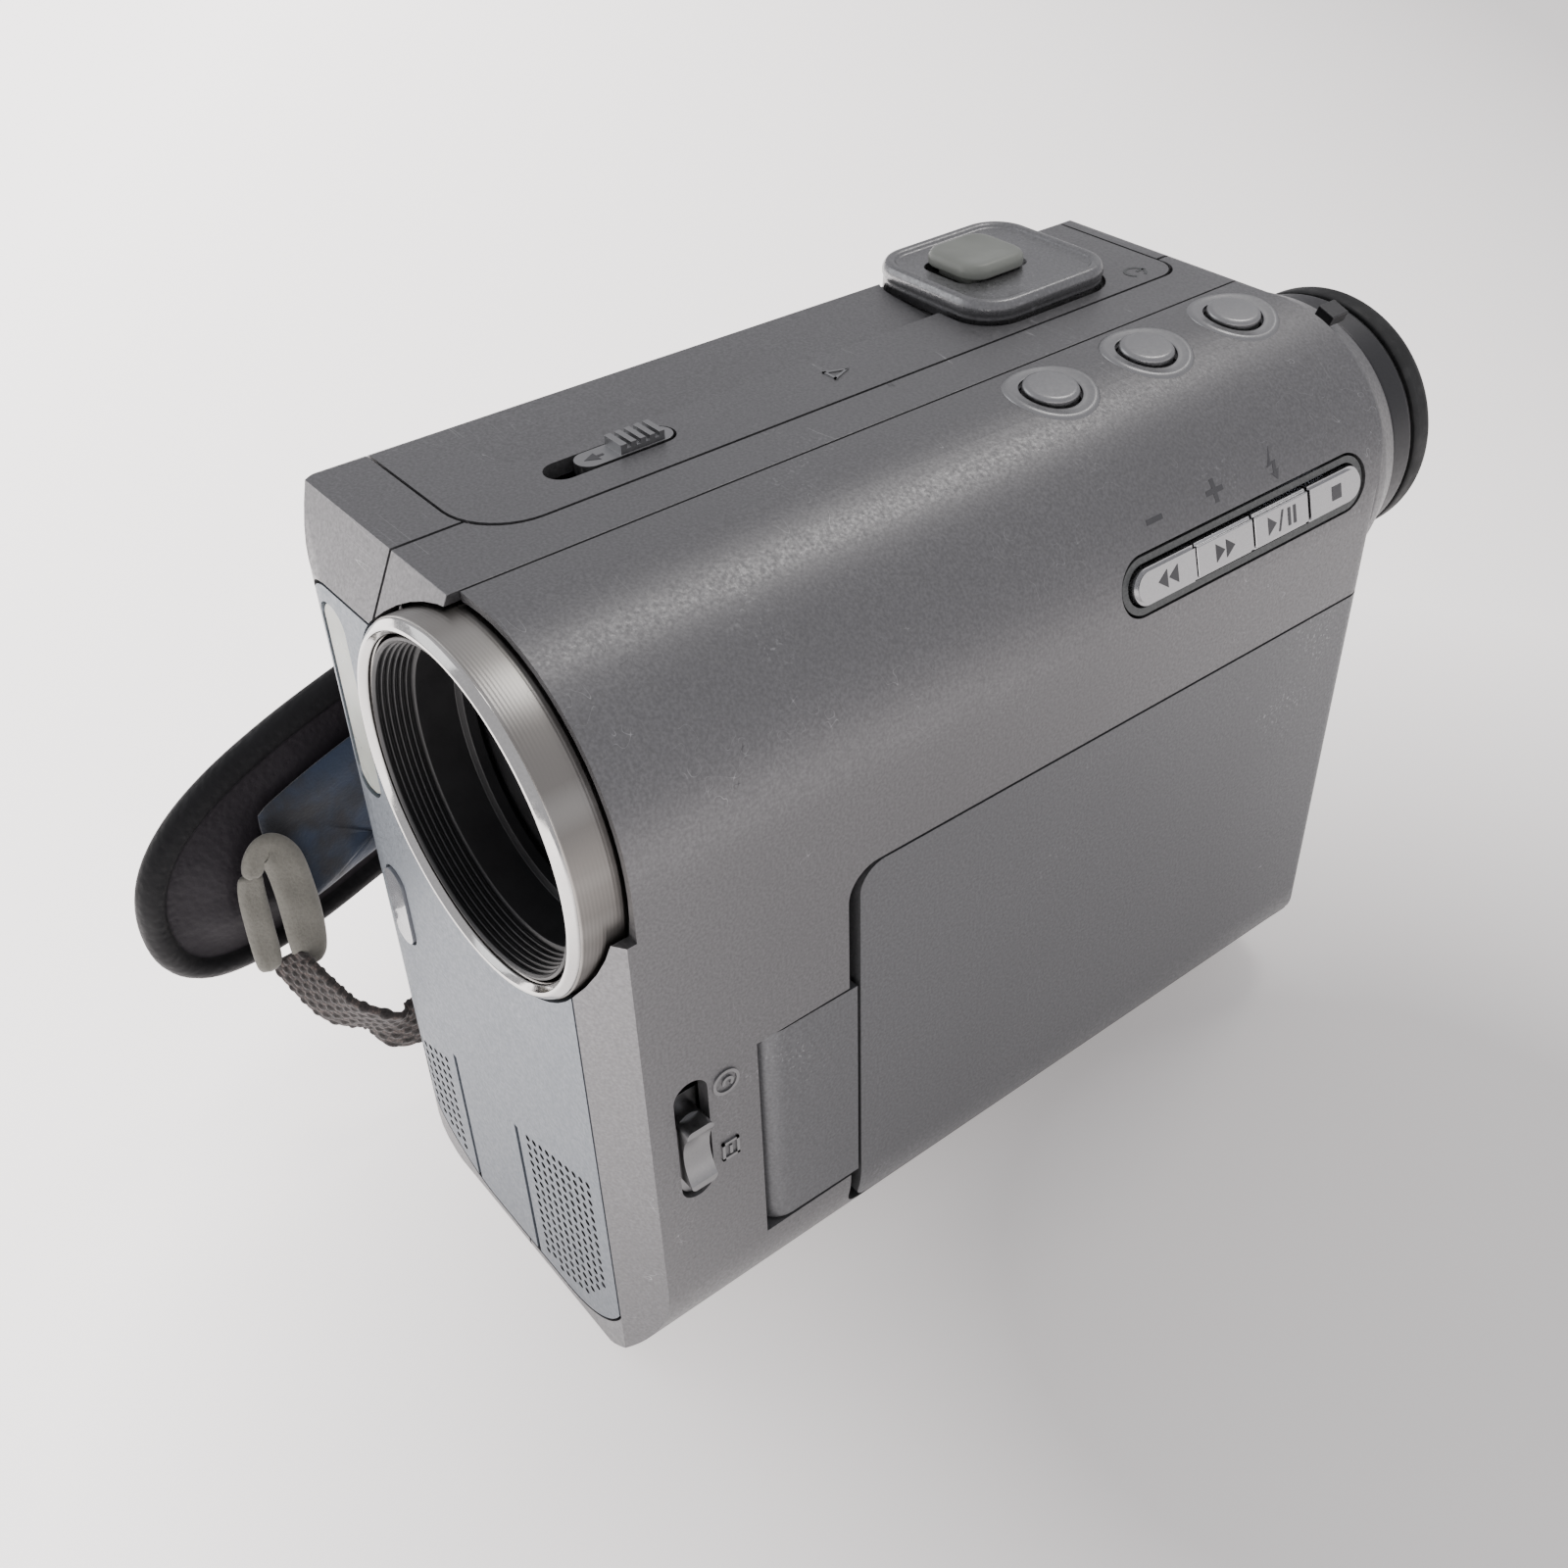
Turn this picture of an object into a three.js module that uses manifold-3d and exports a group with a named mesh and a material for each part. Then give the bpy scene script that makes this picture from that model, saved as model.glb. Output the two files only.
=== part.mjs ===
// Compact tape camcorder with a side LCD monitor, a cassette door and a hand strap.
// Millimetres. +X is the LCD side, -X the grip side, -Y the lens end, +Z up.
// The origin is the middle of the flat underside that the camcorder rests on.
import * as THREE from 'three';
import { mergeVertices } from 'three/addons/utils/BufferGeometryUtils.js';
import Module from 'manifold-3d';

const wasm = await Module();
wasm.setup();

// ---------------------------------------------------------------- driving dimensions

const GAP = 0.3;                 // clearance between touching pieces
const HALF_GAP = GAP / 2;
const WALL = 1.6;                // casing skin

const BODY = { left: -24, right: 24, front: -51, back: 51, top: 87 };
const BASE_R = 16;               // bottom corner of the cross-section on the LCD side
const GRIP = { topR: 1.4, baseR: 19.4, flare: 2 };   // grip side: corners, and its spread towards the lens
const PLAN = { frontR: 7.8, backR: 3 };              // upright corners on the grip side, seen from above
const LENS = { x: 4.8, z: 67.8 };
const CORNER_R = BODY.right - LENS.x;    // big top corner, concentric with the lens
const STRIP = { x: 19.3, y: -47.8 };     // bevel down the front corner on the LCD side
const BROW = { z: 80.5, y: -47.9 };      // bevel along the top front edge

const RING = { r: 18.1, front: -52, back: -44, inner: 16.5 };
const RING_HOLE_R = RING.r + 0.4;
const SHELL_FRONT = -46.8;       // where the curved casing stops behind the ring

const SEAM_X = 1.8;              // LCD-side shell against the top strip
const COLUMN_X = -8;             // top strip against the grip-side frame
const DOOR = { x: -4.3, front: -41.3, back: 47.8, bottom: 5.15, frontR: 6.5, backR: 3 };

const LCD = { front: -22.8, back: 50.6, bottom: 9, top: 57.8, inner: 14, r: 3.6 };
const BAY = { front: -24.2, bottom: 8.7, top: 58.1, floor: 13.4 };
const HINGE = { x: 20.9, y: -32.1, r: 3, front: -35.1, back: -23.2, bottom: 16.2, top: 43.4 };

const CASSETTE = { x0: -21, x1: -7.9, y0: -33.1, y1: 35.1, z0: 34.4, z1: 83, wall: 0.6 };
const DECK_X = -7;
const DRUM = { y: 1, z: 22.6, r: 10.85 };

const BATTERY = { x0: -5.4, x1: 9.8, y0: 6.8, y1: 51.4, z0: 10, z1: 43 };
const FINDER = { r: 17.5, seat: 51.3, holeR: 13.4, neck: 58, neckR: 14.9, tubeR: 14.6, cup: 62.7, end: 66.3 };
const MENU_BUTTONS = { x: 7.2, r: 2.85, dishR: 4.5, y: [15.8, 29.4, 42.7] };
const PLAY_ROW = { y0: 10.8, y1: 46.9, z: 72.9 };
const MODE_SLOT = { y: -43.1, width: 3.8, z0: 28.1, z1: 43.9 };
const DIAL = { x: -14.2, z: 50.6 };
const EJECT_SLOT = { x: -10.25, width: 3.6, y0: -31, y1: -16.8 };
const ZOOM = { x0: -25.8, x1: -6.4, y0: 20.2, y1: 40.2, z0: 86.4, z1: 89.4 };
const CHANNEL = { x: -13.4, depth: 0.9, r: 4.4, front: -33.2, back: 34 };  // finger groove on the door top

// ---------------------------------------------------------------- materials

const paint = (color, roughness, metalness) =>
  new THREE.MeshStandardMaterial({ color, roughness, metalness });
const MATERIAL = {
  silver: paint(0x8d8e92, 0.42, 0.6),
  frontBlue: paint(0x8b9198, 0.45, 0.5),
  panel: paint(0x85878b, 0.45, 0.5),
  ring: paint(0xc9c7c2, 0.25, 1),
  bright: paint(0xd4d5d6, 0.25, 0.9),
  knob: paint(0x9a9c93, 0.5, 0.1),
  black: paint(0x141414, 0.55, 0),
  dark: paint(0x2c2d2f, 0.6, 0.1),
  rubber: paint(0x1d1f20, 0.85, 0),
  leather: paint(0x27262a, 0.7, 0),
  navy: paint(0x27364f, 0.9, 0),
  beige: paint(0x9a978c, 0.8, 0),
  brown: paint(0x5d5450, 0.95, 0),
  glass: paint(0x20242c, 0.05, 0),
  window: paint(0xb9b6a8, 0.3, 0),
  steel: paint(0x9aa0a6, 0.35, 1),
  board: paint(0x1f4a38, 0.6, 0),
  brass: paint(0xb08d4a, 0.35, 1),
};

// ---------------------------------------------------------------- shape helpers

const AXES = {
  x: new THREE.Matrix4().makeBasis(
    new THREE.Vector3(0, 1, 0), new THREE.Vector3(0, 0, 1), new THREE.Vector3(1, 0, 0)),
  y: new THREE.Matrix4().makeBasis(
    new THREE.Vector3(1, 0, 0), new THREE.Vector3(0, 0, 1), new THREE.Vector3(0, -1, 0)),
  z: new THREE.Matrix4(),
};

/** Signed volume of a closed triangle mesh: negative when its faces point inwards. */
function signedVolume(points, triangles) {
  const [a, b, c] = [new THREE.Vector3(), new THREE.Vector3(), new THREE.Vector3()];
  let volume = 0;
  for (let i = 0; i < triangles.length; i += 3) {
    a.fromArray(points, 3 * triangles[i]);
    b.fromArray(points, 3 * triangles[i + 1]);
    c.fromArray(points, 3 * triangles[i + 2]);
    volume += a.dot(b.cross(c)) / 6;
  }
  return volume;
}

/** A closed three.js geometry as a solid that can be cut and joined, whichever way its faces run. */
function solid(geometry) {
  const bare = geometry.clone();
  bare.deleteAttribute('normal');
  bare.deleteAttribute('uv');
  const merged = mergeVertices(bare, 1e-4);
  const vertProperties = Float32Array.from(merged.attributes.position.array);
  const triVerts = Uint32Array.from(merged.index.array);
  if (signedVolume(vertProperties, triVerts) < 0) triVerts.reverse();
  return new wasm.Manifold(new wasm.Mesh({ numProp: 3, vertProperties, triVerts }));
}

function geometryOf(part) {
  const data = part.getMesh();
  const geometry = new THREE.BufferGeometry();
  geometry.setAttribute('position', new THREE.BufferAttribute(Float32Array.from(data.vertProperties), 3));
  geometry.setIndex(new THREE.BufferAttribute(Uint32Array.from(data.triVerts), 1));
  geometry.computeVertexNormals();
  return geometry;
}

/** Extrudes an outline between two stations. x: outline is (Y, Z); y: (X, Z); z: (X, Y). */
function prism(shape, axis, from, to, segments = 4) {
  const options = { depth: to - from, bevelEnabled: false, curveSegments: segments };
  const geometry = new THREE.ExtrudeGeometry(shape, options);
  geometry.applyMatrix4(AXES[axis]);
  const start = axis === 'y' ? to : from;
  const shift = { x: [start, 0, 0], y: [0, start, 0], z: [0, 0, start] }[axis];
  geometry.translate(...shift);
  return solid(geometry);
}

/** Rectangle with a radius at each corner: low-low, high-low, high-high, low-high. */
function rect(u0, u1, v0, v1, radii = [0, 0, 0, 0]) {
  const [a, b, c, d] = radii;
  const shape = new THREE.Shape();
  shape.moveTo(u0 + a, v0);
  shape.lineTo(u1 - b, v0);
  if (b > 0) shape.absarc(u1 - b, v0 + b, b, -Math.PI / 2, 0, false);
  shape.lineTo(u1, v1 - c);
  if (c > 0) shape.absarc(u1 - c, v1 - c, c, 0, Math.PI / 2, false);
  shape.lineTo(u0 + d, v1);
  if (d > 0) shape.absarc(u0 + d, v1 - d, d, Math.PI / 2, Math.PI, false);
  shape.lineTo(u0, v0 + a);
  if (a > 0) shape.absarc(u0 + a, v0 + a, a, Math.PI, 1.5 * Math.PI, false);
  return shape;
}

const rounded = (u0, u1, v0, v1, r) => rect(u0, u1, v0, v1, [r, r, r, r]);

function box(x0, x1, y0, y1, z0, z1) {
  const geometry = new THREE.BoxGeometry(x1 - x0, y1 - y0, z1 - z0);
  geometry.translate((x0 + x1) / 2, (y0 + y1) / 2, (z0 + z1) / 2);
  return solid(geometry);
}

/** Turned piece from (radius, station) points, about the local Z axis. */
function turned(points, segments) {
  const geometry = new THREE.LatheGeometry(points.map(([r, h]) => new THREE.Vector2(r, h)), segments);
  geometry.rotateX(Math.PI / 2);
  return geometry;
}

/** Turned piece whose stations run along +Y, centred on (x, z). */
function turnedY(points, x, z, segments = 40) {
  const geometry = turned(points, segments);
  geometry.rotateX(-Math.PI / 2);
  geometry.translate(x, 0, z);
  return solid(geometry);
}

function turnedX(points, y, z, segments = 32) {
  const geometry = turned(points, segments);
  geometry.rotateY(Math.PI / 2);
  geometry.translate(0, y, z);
  return solid(geometry);
}

function turnedZ(points, x, y, segments = 32) {
  const geometry = turned(points, segments);
  geometry.translate(x, y, 0);
  return solid(geometry);
}

/** Flat band that follows a list of stations: each has a centre, a width and a width direction. */
function ribbon(stations, thickness) {
  const curve = new THREE.CatmullRomCurve3(stations.map((s) => new THREE.Vector3(...s.at)));
  const steps = (stations.length - 1) * 4;
  const positions = [];
  for (let i = 0; i <= steps; i += 1) {
    const t = i / steps;
    const place = t * (stations.length - 1);
    const low = Math.min(Math.floor(place), stations.length - 2);
    const mix = place - low;
    const side = new THREE.Vector3(...stations[low].side)
      .lerp(new THREE.Vector3(...stations[low + 1].side), mix);
    const width = THREE.MathUtils.lerp(stations[low].width, stations[low + 1].width, mix);
    const tangent = curve.getTangent(t);
    side.addScaledVector(tangent, -side.dot(tangent)).normalize();
    const normal = new THREE.Vector3().crossVectors(tangent, side);
    const centre = curve.getPoint(t);
    for (const [u, v] of [[-1, -1], [1, -1], [1, 1], [-1, 1]]) {
      const corner = centre.clone()
        .addScaledVector(side, u * width / 2)
        .addScaledVector(normal, v * thickness / 2);
      positions.push(corner.x, corner.y, corner.z);
    }
  }
  const index = [0, 2, 1, 0, 3, 2];
  for (let i = 0; i < steps; i += 1) {
    for (let k = 0; k < 4; k += 1) {
      const a = i * 4 + k;
      const b = i * 4 + (k + 1) % 4;
      index.push(a, b, b + 4, a, b + 4, a + 4);
    }
  }
  const last = steps * 4;
  index.push(last, last + 1, last + 2, last, last + 2, last + 3);
  const geometry = new THREE.BufferGeometry();
  geometry.setAttribute('position', new THREE.Float32BufferAttribute(positions, 3));
  geometry.setIndex(index);
  return solid(geometry);
}

/** The biggest body of a part, without the slivers that a cut can leave. */
const main = (part) => part.decompose().reduce((best, each) => (each.volume() > best.volume() ? each : best));

// ---------------------------------------------------------------- scene graph

const camcorder = new THREE.Group();

function add(name, part, material, parent = camcorder) {
  const geometry = part.isBufferGeometry ? part : geometryOf(part);
  const mesh = new THREE.Mesh(geometry, material);
  mesh.name = name;
  parent.add(mesh);
  return mesh;
}

// ---------------------------------------------------------------- casing envelope

/** Cross-section of the body, looking along the lens axis, moved in by `inset`. */
function sectionShape(inset) {
  const left = BODY.left + inset;
  const right = BODY.right - inset;
  const top = BODY.top - inset;
  const base = BASE_R - inset;
  const grip = Math.max(GRIP.topR - inset, 0.5);
  const shape = new THREE.Shape();
  shape.moveTo(BODY.left + GRIP.baseR, inset);
  shape.lineTo(BODY.right - BASE_R, inset);
  shape.absarc(BODY.right - BASE_R, BASE_R, base, -Math.PI / 2, 0, false);
  shape.lineTo(right, LENS.z);
  shape.absarc(LENS.x, LENS.z, CORNER_R - inset, 0, Math.PI / 2, false);
  shape.lineTo(left + grip, top);
  shape.absarc(left + grip, top - grip, grip, Math.PI / 2, Math.PI, false);
  shape.lineTo(left, GRIP.baseR);
  shape.absarc(BODY.left + GRIP.baseR, GRIP.baseR, GRIP.baseR - inset, Math.PI, 1.5 * Math.PI, false);
  return shape;
}

/** Plan of the body: rounded grip corner, bevelled LCD corner, soft rear corners. */
function planShape(inset) {
  const { frontR, backR } = PLAN;
  const right = BODY.right - inset;
  const shape = new THREE.Shape();
  shape.moveTo(BODY.left - GRIP.flare + frontR, BODY.front + inset);
  shape.lineTo(STRIP.x - 0.3 * inset, BODY.front + inset);
  shape.lineTo(right, STRIP.y + 0.5 * inset);
  shape.lineTo(right, BODY.back - backR);
  shape.absarc(BODY.right - backR, BODY.back - backR, backR - inset, 0, Math.PI / 2, false);
  shape.lineTo(BODY.left + backR, BODY.back - inset);
  shape.absarc(BODY.left + backR, BODY.back - backR, backR - inset, Math.PI / 2, Math.PI, false);
  shape.lineTo(BODY.left - GRIP.flare + inset, BODY.front + frontR);
  shape.absarc(BODY.left - GRIP.flare + frontR, BODY.front + frontR, frontR - inset,
    Math.PI, 1.5 * Math.PI, false);
  return shape;
}

/** Side profile of the body: bevelled brow above the lens, soft lower edges. */
function profileShape(inset) {
  const frontR = 2.6;
  const backR = 2.6;
  const topR = 2;
  const front = BODY.front + inset;
  const back = BODY.back - inset;
  const top = BODY.top - inset;
  const shape = new THREE.Shape();
  shape.moveTo(BODY.front + frontR, inset);
  shape.lineTo(BODY.back - backR, inset);
  shape.absarc(BODY.back - backR, backR, backR - inset, -Math.PI / 2, 0, false);
  shape.lineTo(back, BODY.top - topR);
  shape.absarc(BODY.back - topR, BODY.top - topR, topR - Math.min(inset, topR - 0.3), 0, Math.PI / 2, false);
  shape.lineTo(BROW.y + 0.6 * inset, top);
  shape.lineTo(front, BROW.z - 0.3 * inset);
  shape.lineTo(front, frontR);
  shape.absarc(BODY.front + frontR, frontR, frontR - inset, Math.PI, 1.5 * Math.PI, false);
  return shape;
}

/** Prism of the cross-section between two stations; its grip side spreads out towards the lens. */
function bodyPrism(inset, y0, y1) {
  const straight = prism(sectionShape(inset), 'y', y0, y1, 12);
  const sideBack = BODY.back - PLAN.backR;
  const slope = GRIP.flare / (sideBack - BODY.front - PLAN.frontR);
  const lean = new THREE.Matrix4().set(
    1, slope, 0, -slope * sideBack,
    0, 1, 0, 0,
    0, 0, 1, 0,
    0, 0, 0, 1);
  return straight.add(straight.transform(lean.elements));
}

function envelope(inset) {
  const margin = 4;
  const section = bodyPrism(inset, BODY.front - margin, BODY.back + margin);
  const plan = prism(planShape(inset), 'z', -margin, BODY.top + margin, 5);
  const profile = prism(profileShape(inset), 'x', BODY.left - margin, BODY.right + margin, 4);
  return section.intersect(plan).intersect(profile);
}

const OUTER = envelope(0);
const SKIN = OUTER.subtract(envelope(WALL));
const INSIDE = envelope(WALL + GAP);

// ---------------------------------------------------------------- casing regions

const PANEL_MARGIN = 3.3;        // casing that shows round the front and rear panels

/** Plan area of the cassette door, grown by `grow`. */
function doorRegion(grow) {
  const outline = rect(BODY.left - 6, DOOR.x + grow, DOOR.front - grow, DOOR.back + grow,
    [0, DOOR.frontR, DOOR.backR, 0]);
  return prism(outline, 'z', DOOR.bottom - grow, BODY.top + 3, 5);
}

/** Area of the front panel: a rounded plate that follows the casing's lower outline. */
function frontRegion(grow) {
  const plate = rect(-21.2 - grow, 19.15 + grow, -2, 80.4 + grow, [0, 0, 0, 4]);
  const area = prism(plate, 'y', BODY.front - 2, BODY.front + WALL + 0.3, 5);
  return area.intersect(bodyPrism(PANEL_MARGIN - grow, BODY.front - 3, BODY.front + 3));
}

function rearRegion(grow) {
  const low = rect(-20.7 - grow, 12 + grow, -2, 90);
  const high = rect(0, 30, 59.9 - grow, 90);
  const y0 = BODY.back - WALL - 0.3;
  const y1 = BODY.back + 3;
  const area = prism(low, 'y', y0, y1).add(prism(high, 'y', y0, y1));
  return area.intersect(bodyPrism(PANEL_MARGIN - grow, y0 - 1, y1 + 1));
}

const baseRegion = (grow) => box(-12 - grow, 12 + grow, -46 - grow, 46 + grow, -2, WALL + 1.4);

const ringHole = turnedY([[0, -60], [RING_HOLE_R, -60], [RING_HOLE_R, -40], [0, -40]], LENS.x, LENS.z, 56);
const ringStep = box(SEAM_X, 40, -60, SHELL_FRONT, 63.5, 95);
const finderHole = turnedY([[0, 45], [FINDER.holeR, 45], [FINDER.holeR, 60], [0, 60]], LENS.x, LENS.z, 48);
const lcdOpening = prism(rect(BAY.front, 60, BAY.bottom, BAY.top, [LCD.r, 0, 0, LCD.r]), 'x', 13.7, 30, 5);
const hingeNotch = box(13.7, 30, HINGE.front - GAP, HINGE.back, HINGE.bottom - GAP, HINGE.top + GAP);

const above = (x0, x1) => box(x0, x1, -60, 60, 40, 95);
const below = (x0, x1) => box(x0, x1, -60, 60, -5, 40);

/** Everything that the fixed side casings leave free for other pieces. */
const cutFixed = (part) => part
  .subtract(doorRegion(HALF_GAP))
  .subtract(frontRegion(HALF_GAP))
  .subtract(rearRegion(HALF_GAP))
  .subtract(baseRegion(HALF_GAP))
  .subtract(ringHole)
  .subtract(finderHole);

// ---------------------------------------------------------------- surface controls on the big curve

const MENU_TILT = Math.asin((MENU_BUTTONS.x - LENS.x) / CORNER_R);
const PLAY_TILT = Math.asin((PLAY_ROW.z - LENS.z) / CORNER_R);

/** Puts a geometry whose local Z is outward onto the big curve at an angle up from +X. */
function onCurve(part, angle, y) {
  const degrees = THREE.MathUtils.radToDeg(angle);
  return part.rotate([0, 90 - degrees, 0]).translate([
    LENS.x + CORNER_R * Math.cos(angle), y, LENS.z + CORNER_R * Math.sin(angle)]);
}

const menuAngle = Math.PI / 2 - MENU_TILT;
const playAngle = PLAY_TILT;

function menuHole(y) {
  const { r, dishR } = MENU_BUTTONS;
  const dish = turnedZ([
    [0, -1], [r + 0.3, -0.95], [dishR - 0.9, -0.6], [dishR, 0.25], [dishR, 2], [0, 2]], 0, 0, 28);
  const hole = turnedZ([[0, -3], [r + GAP, -3], [r + GAP, 1], [0, 1]], 0, 0, 28);
  return onCurve(dish.add(hole), menuAngle, y);
}

/** Stadium outline along local Y. */
const stadium = (length, width) => rounded(-width / 2, width / 2, -length / 2, length / 2, width / 2 - 0.01);

const playMiddle = (PLAY_ROW.y0 + PLAY_ROW.y1) / 2;
const playLength = PLAY_ROW.y1 - PLAY_ROW.y0;
const playHole = onCurve(prism(stadium(playLength + 0.9, 6.4), 'z', -4, 3, 6), playAngle, playMiddle);

function slotShape(u0, u1, v0, v1) {
  const r = Math.min(u1 - u0, v1 - v0) / 2 - 0.01;
  return rounded(u0, u1, v0, v1, r);
}

const modeSlotHole = prism(slotShape(MODE_SLOT.y - MODE_SLOT.width / 2, MODE_SLOT.y + MODE_SLOT.width / 2,
  MODE_SLOT.z0, MODE_SLOT.z1), 'x', 21, 26, 5);

// ---------------------------------------------------------------- fixed casings

function buildCasings() {
  let lcdSide = SKIN.intersect(above(SEAM_X + HALF_GAP, 30).add(below(HALF_GAP, 30)));
  lcdSide = cutFixed(lcdSide).subtract(ringStep).subtract(lcdOpening).subtract(hingeNotch);
  MENU_BUTTONS.y.forEach((y) => {
    lcdSide = lcdSide.subtract(menuHole(y));
  });
  lcdSide = lcdSide.subtract(playHole).subtract(modeSlotHole);
  add('lcd_side_shell', main(lcdSide), MATERIAL.silver);

  const strip = cutFixed(SKIN.intersect(above(COLUMN_X + HALF_GAP, SEAM_X - HALF_GAP)));
  add('top_strip', main(strip), MATERIAL.silver);

  const frame = cutFixed(SKIN.intersect(above(-30, COLUMN_X - HALF_GAP).add(below(-30, -HALF_GAP))));
  add('grip_side_frame', main(frame), MATERIAL.silver);

  const bushHole = turnedZ([[0, -2], [6.3, -2], [6.3, 5], [0, 5]], 0, -22, 32);
  const base = SKIN.intersect(baseRegion(-HALF_GAP)).subtract(bushHole);
  add('base_cover', base, MATERIAL.dark);
}

const WINDOW = { x0: -19.6, x1: -14.7, z0: 56.4, z1: 78.4 };
const REMOTE = { x0: -18.3, x1: -14.1, z0: 37, z1: 47.4 };
const BAR = { left: -10.6, right: 2.1, width: 0.7, top: 24.2 };

function buildFrontPanel() {
  const plate = SKIN.intersect(frontRegion(-HALF_GAP)).subtract(ringHole);
  const windowCut = prism(rounded(WINDOW.x0, WINDOW.x1, WINDOW.z0, WINDOW.z1, 2.2), 'y', -53, -50, 5);
  const remoteCut = prism(rounded(REMOTE.x0, REMOTE.x1, REMOTE.z0, REMOTE.z1, 2), 'y', -53, -50.2, 5);
  const groove = (x) => box(x - BAR.width / 2, x + BAR.width / 2, -53, BODY.front + 0.6, -2, BAR.top);
  const panel = plate.subtract(windowCut).subtract(remoteCut)
    .subtract(groove(BAR.left)).subtract(groove(BAR.right));
  add('front_panel', main(panel), MATERIAL.frontBlue);

  const lamp = prism(rounded(WINDOW.x0 + GAP, WINDOW.x1 - GAP, WINDOW.z0 + GAP, WINDOW.z1 - GAP, 1.9),
    'y', -50.75, -50.25, 5);
  add('light_window', lamp.subtract(ringHole), MATERIAL.window);

  const remote = prism(rounded(REMOTE.x0 + GAP, REMOTE.x1 - GAP, REMOTE.z0 + GAP, REMOTE.z1 - GAP, 1.7),
    'y', -51.3, -50.5, 5);
  add('remote_window', remote, MATERIAL.glass);

  add('microphone', prism(rounded(-3, 9, 11, 23, 2), 'y', -49, -44.5, 4), MATERIAL.dark);
}

function buildRearPanel() {
  const plate = SKIN.intersect(rearRegion(-HALF_GAP)).subtract(finderHole);
  const bay = prism(rounded(BATTERY.x0 - 0.4, BATTERY.x1 + 0.4, BATTERY.z0 - 0.4, BATTERY.z1 + 0.4, 2),
    'y', 45, 55, 4);
  const latchSlot = prism(slotShape(-3, 7, 45, 48), 'y', 45, 55, 4);
  const buttonHole = turnedY([[0, 45], [3.9, 45], [3.9, 55], [0, 55]], DIAL.x, DIAL.z, 24);
  add('rear_panel', main(plate.subtract(bay).subtract(latchSlot).subtract(buttonHole)), MATERIAL.silver);
}

// ---------------------------------------------------------------- lens

function buildLens() {
  const { x, z } = LENS;
  add('lens_ring', turnedY([
    [RING.r, RING.back], [RING.r, -51.5], [17.75, RING.front], [16.95, RING.front],
    [RING.inner, -51.4], [RING.inner, RING.back], [RING.r, RING.back]], x, z, 56), MATERIAL.ring);

  const ridges = 6;
  const pitch = 0.55;
  const profile = [[16.2, -40.4], [16.2, -51.1], [15.9, -51.3]];
  for (let i = 0; i < ridges; i += 1) {
    const crest = 15.7 - 0.12 * i;
    const at = -51 + pitch * i;
    profile.push([crest, at + 0.15], [crest + 0.3, at + 0.3]);
  }
  profile.push([14.9, -47.2], [14.9, -43.6], [13.9, -43.4], [13.9, -42.3], [15, -42.2], [15, -40.4]);
  profile.push([16.2, -40.4]);
  add('lens_sleeve', turnedY(profile, x, z, 40), MATERIAL.black);

  const disc = turnedY([[0, -41.7], [14.7, -41.7], [14.7, -40.8], [0, -40.8]], x, z, 36);
  const gate = prism(rounded(x - 8.5, x + 8.5, z - 6.2, z + 6.2, 1.5), 'y', -45, -38, 4);
  add('lens_mask', disc.subtract(gate), MATERIAL.black);

  add('front_lens', turnedY([
    [0, -38.2], [3, -38], [6, -37.3], [8.6, -36.2], [9, -36], [9, -33.6], [0, -33.6]],
  x, z, 28), MATERIAL.glass);
  add('lens_barrel', turnedY([
    [10.4, -38.8], [9.3, -38.8], [9.3, -33.2], [8, -33], [8, -11], [10.4, -11], [10.4, -38.8]], x, z, 32),
  MATERIAL.black);
  add('image_sensor', box(x - 8, x + 8, -10.6, -6.4, z - 7, z + 7), MATERIAL.board);
}

const BLADE = { half: 9, height: 7.6, y0: -40, y1: -39.2 };

function buildBarrier() {
  const { x, z } = LENS;
  const low = HALF_GAP;
  const high = HALF_GAP + BLADE.height;
  add('barrier_upper', prism(rounded(x - BLADE.half, x + BLADE.half, z + low, z + high, 0.8),
    'y', BLADE.y0, BLADE.y1, 3), MATERIAL.dark);
  add('barrier_lower', prism(rounded(x - BLADE.half, x + BLADE.half, z - high, z - low, 0.8),
    'y', BLADE.y0, BLADE.y1, 3), MATERIAL.dark);
}

// ---------------------------------------------------------------- LCD monitor and its recess

function buildLcdBay() {
  const wall = 1.4;
  const outer = box(12, 22.1, BAY.front - wall - 0.3, 48.9, BAY.bottom - 1.2, BAY.top + wall);
  const inner = box(BAY.floor, 30, BAY.front, 60, BAY.bottom + 0.3, BAY.top);
  const around = GAP + wall;
  const hingeOuter = box(12, 22.1, HINGE.front - around, -20, HINGE.bottom - around, HINGE.top + around);
  const hingeInner = box(BAY.floor, 30, HINGE.front - GAP, -20, HINGE.bottom - GAP, HINGE.top + GAP);
  const tray = outer.add(hingeOuter).subtract(inner).subtract(hingeInner).intersect(INSIDE);
  add('lcd_bay', main(tray), MATERIAL.dark);
}

const TILT = { y0: -27.2, y1: -17.6, r: 1.8, z: 30 };

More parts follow.
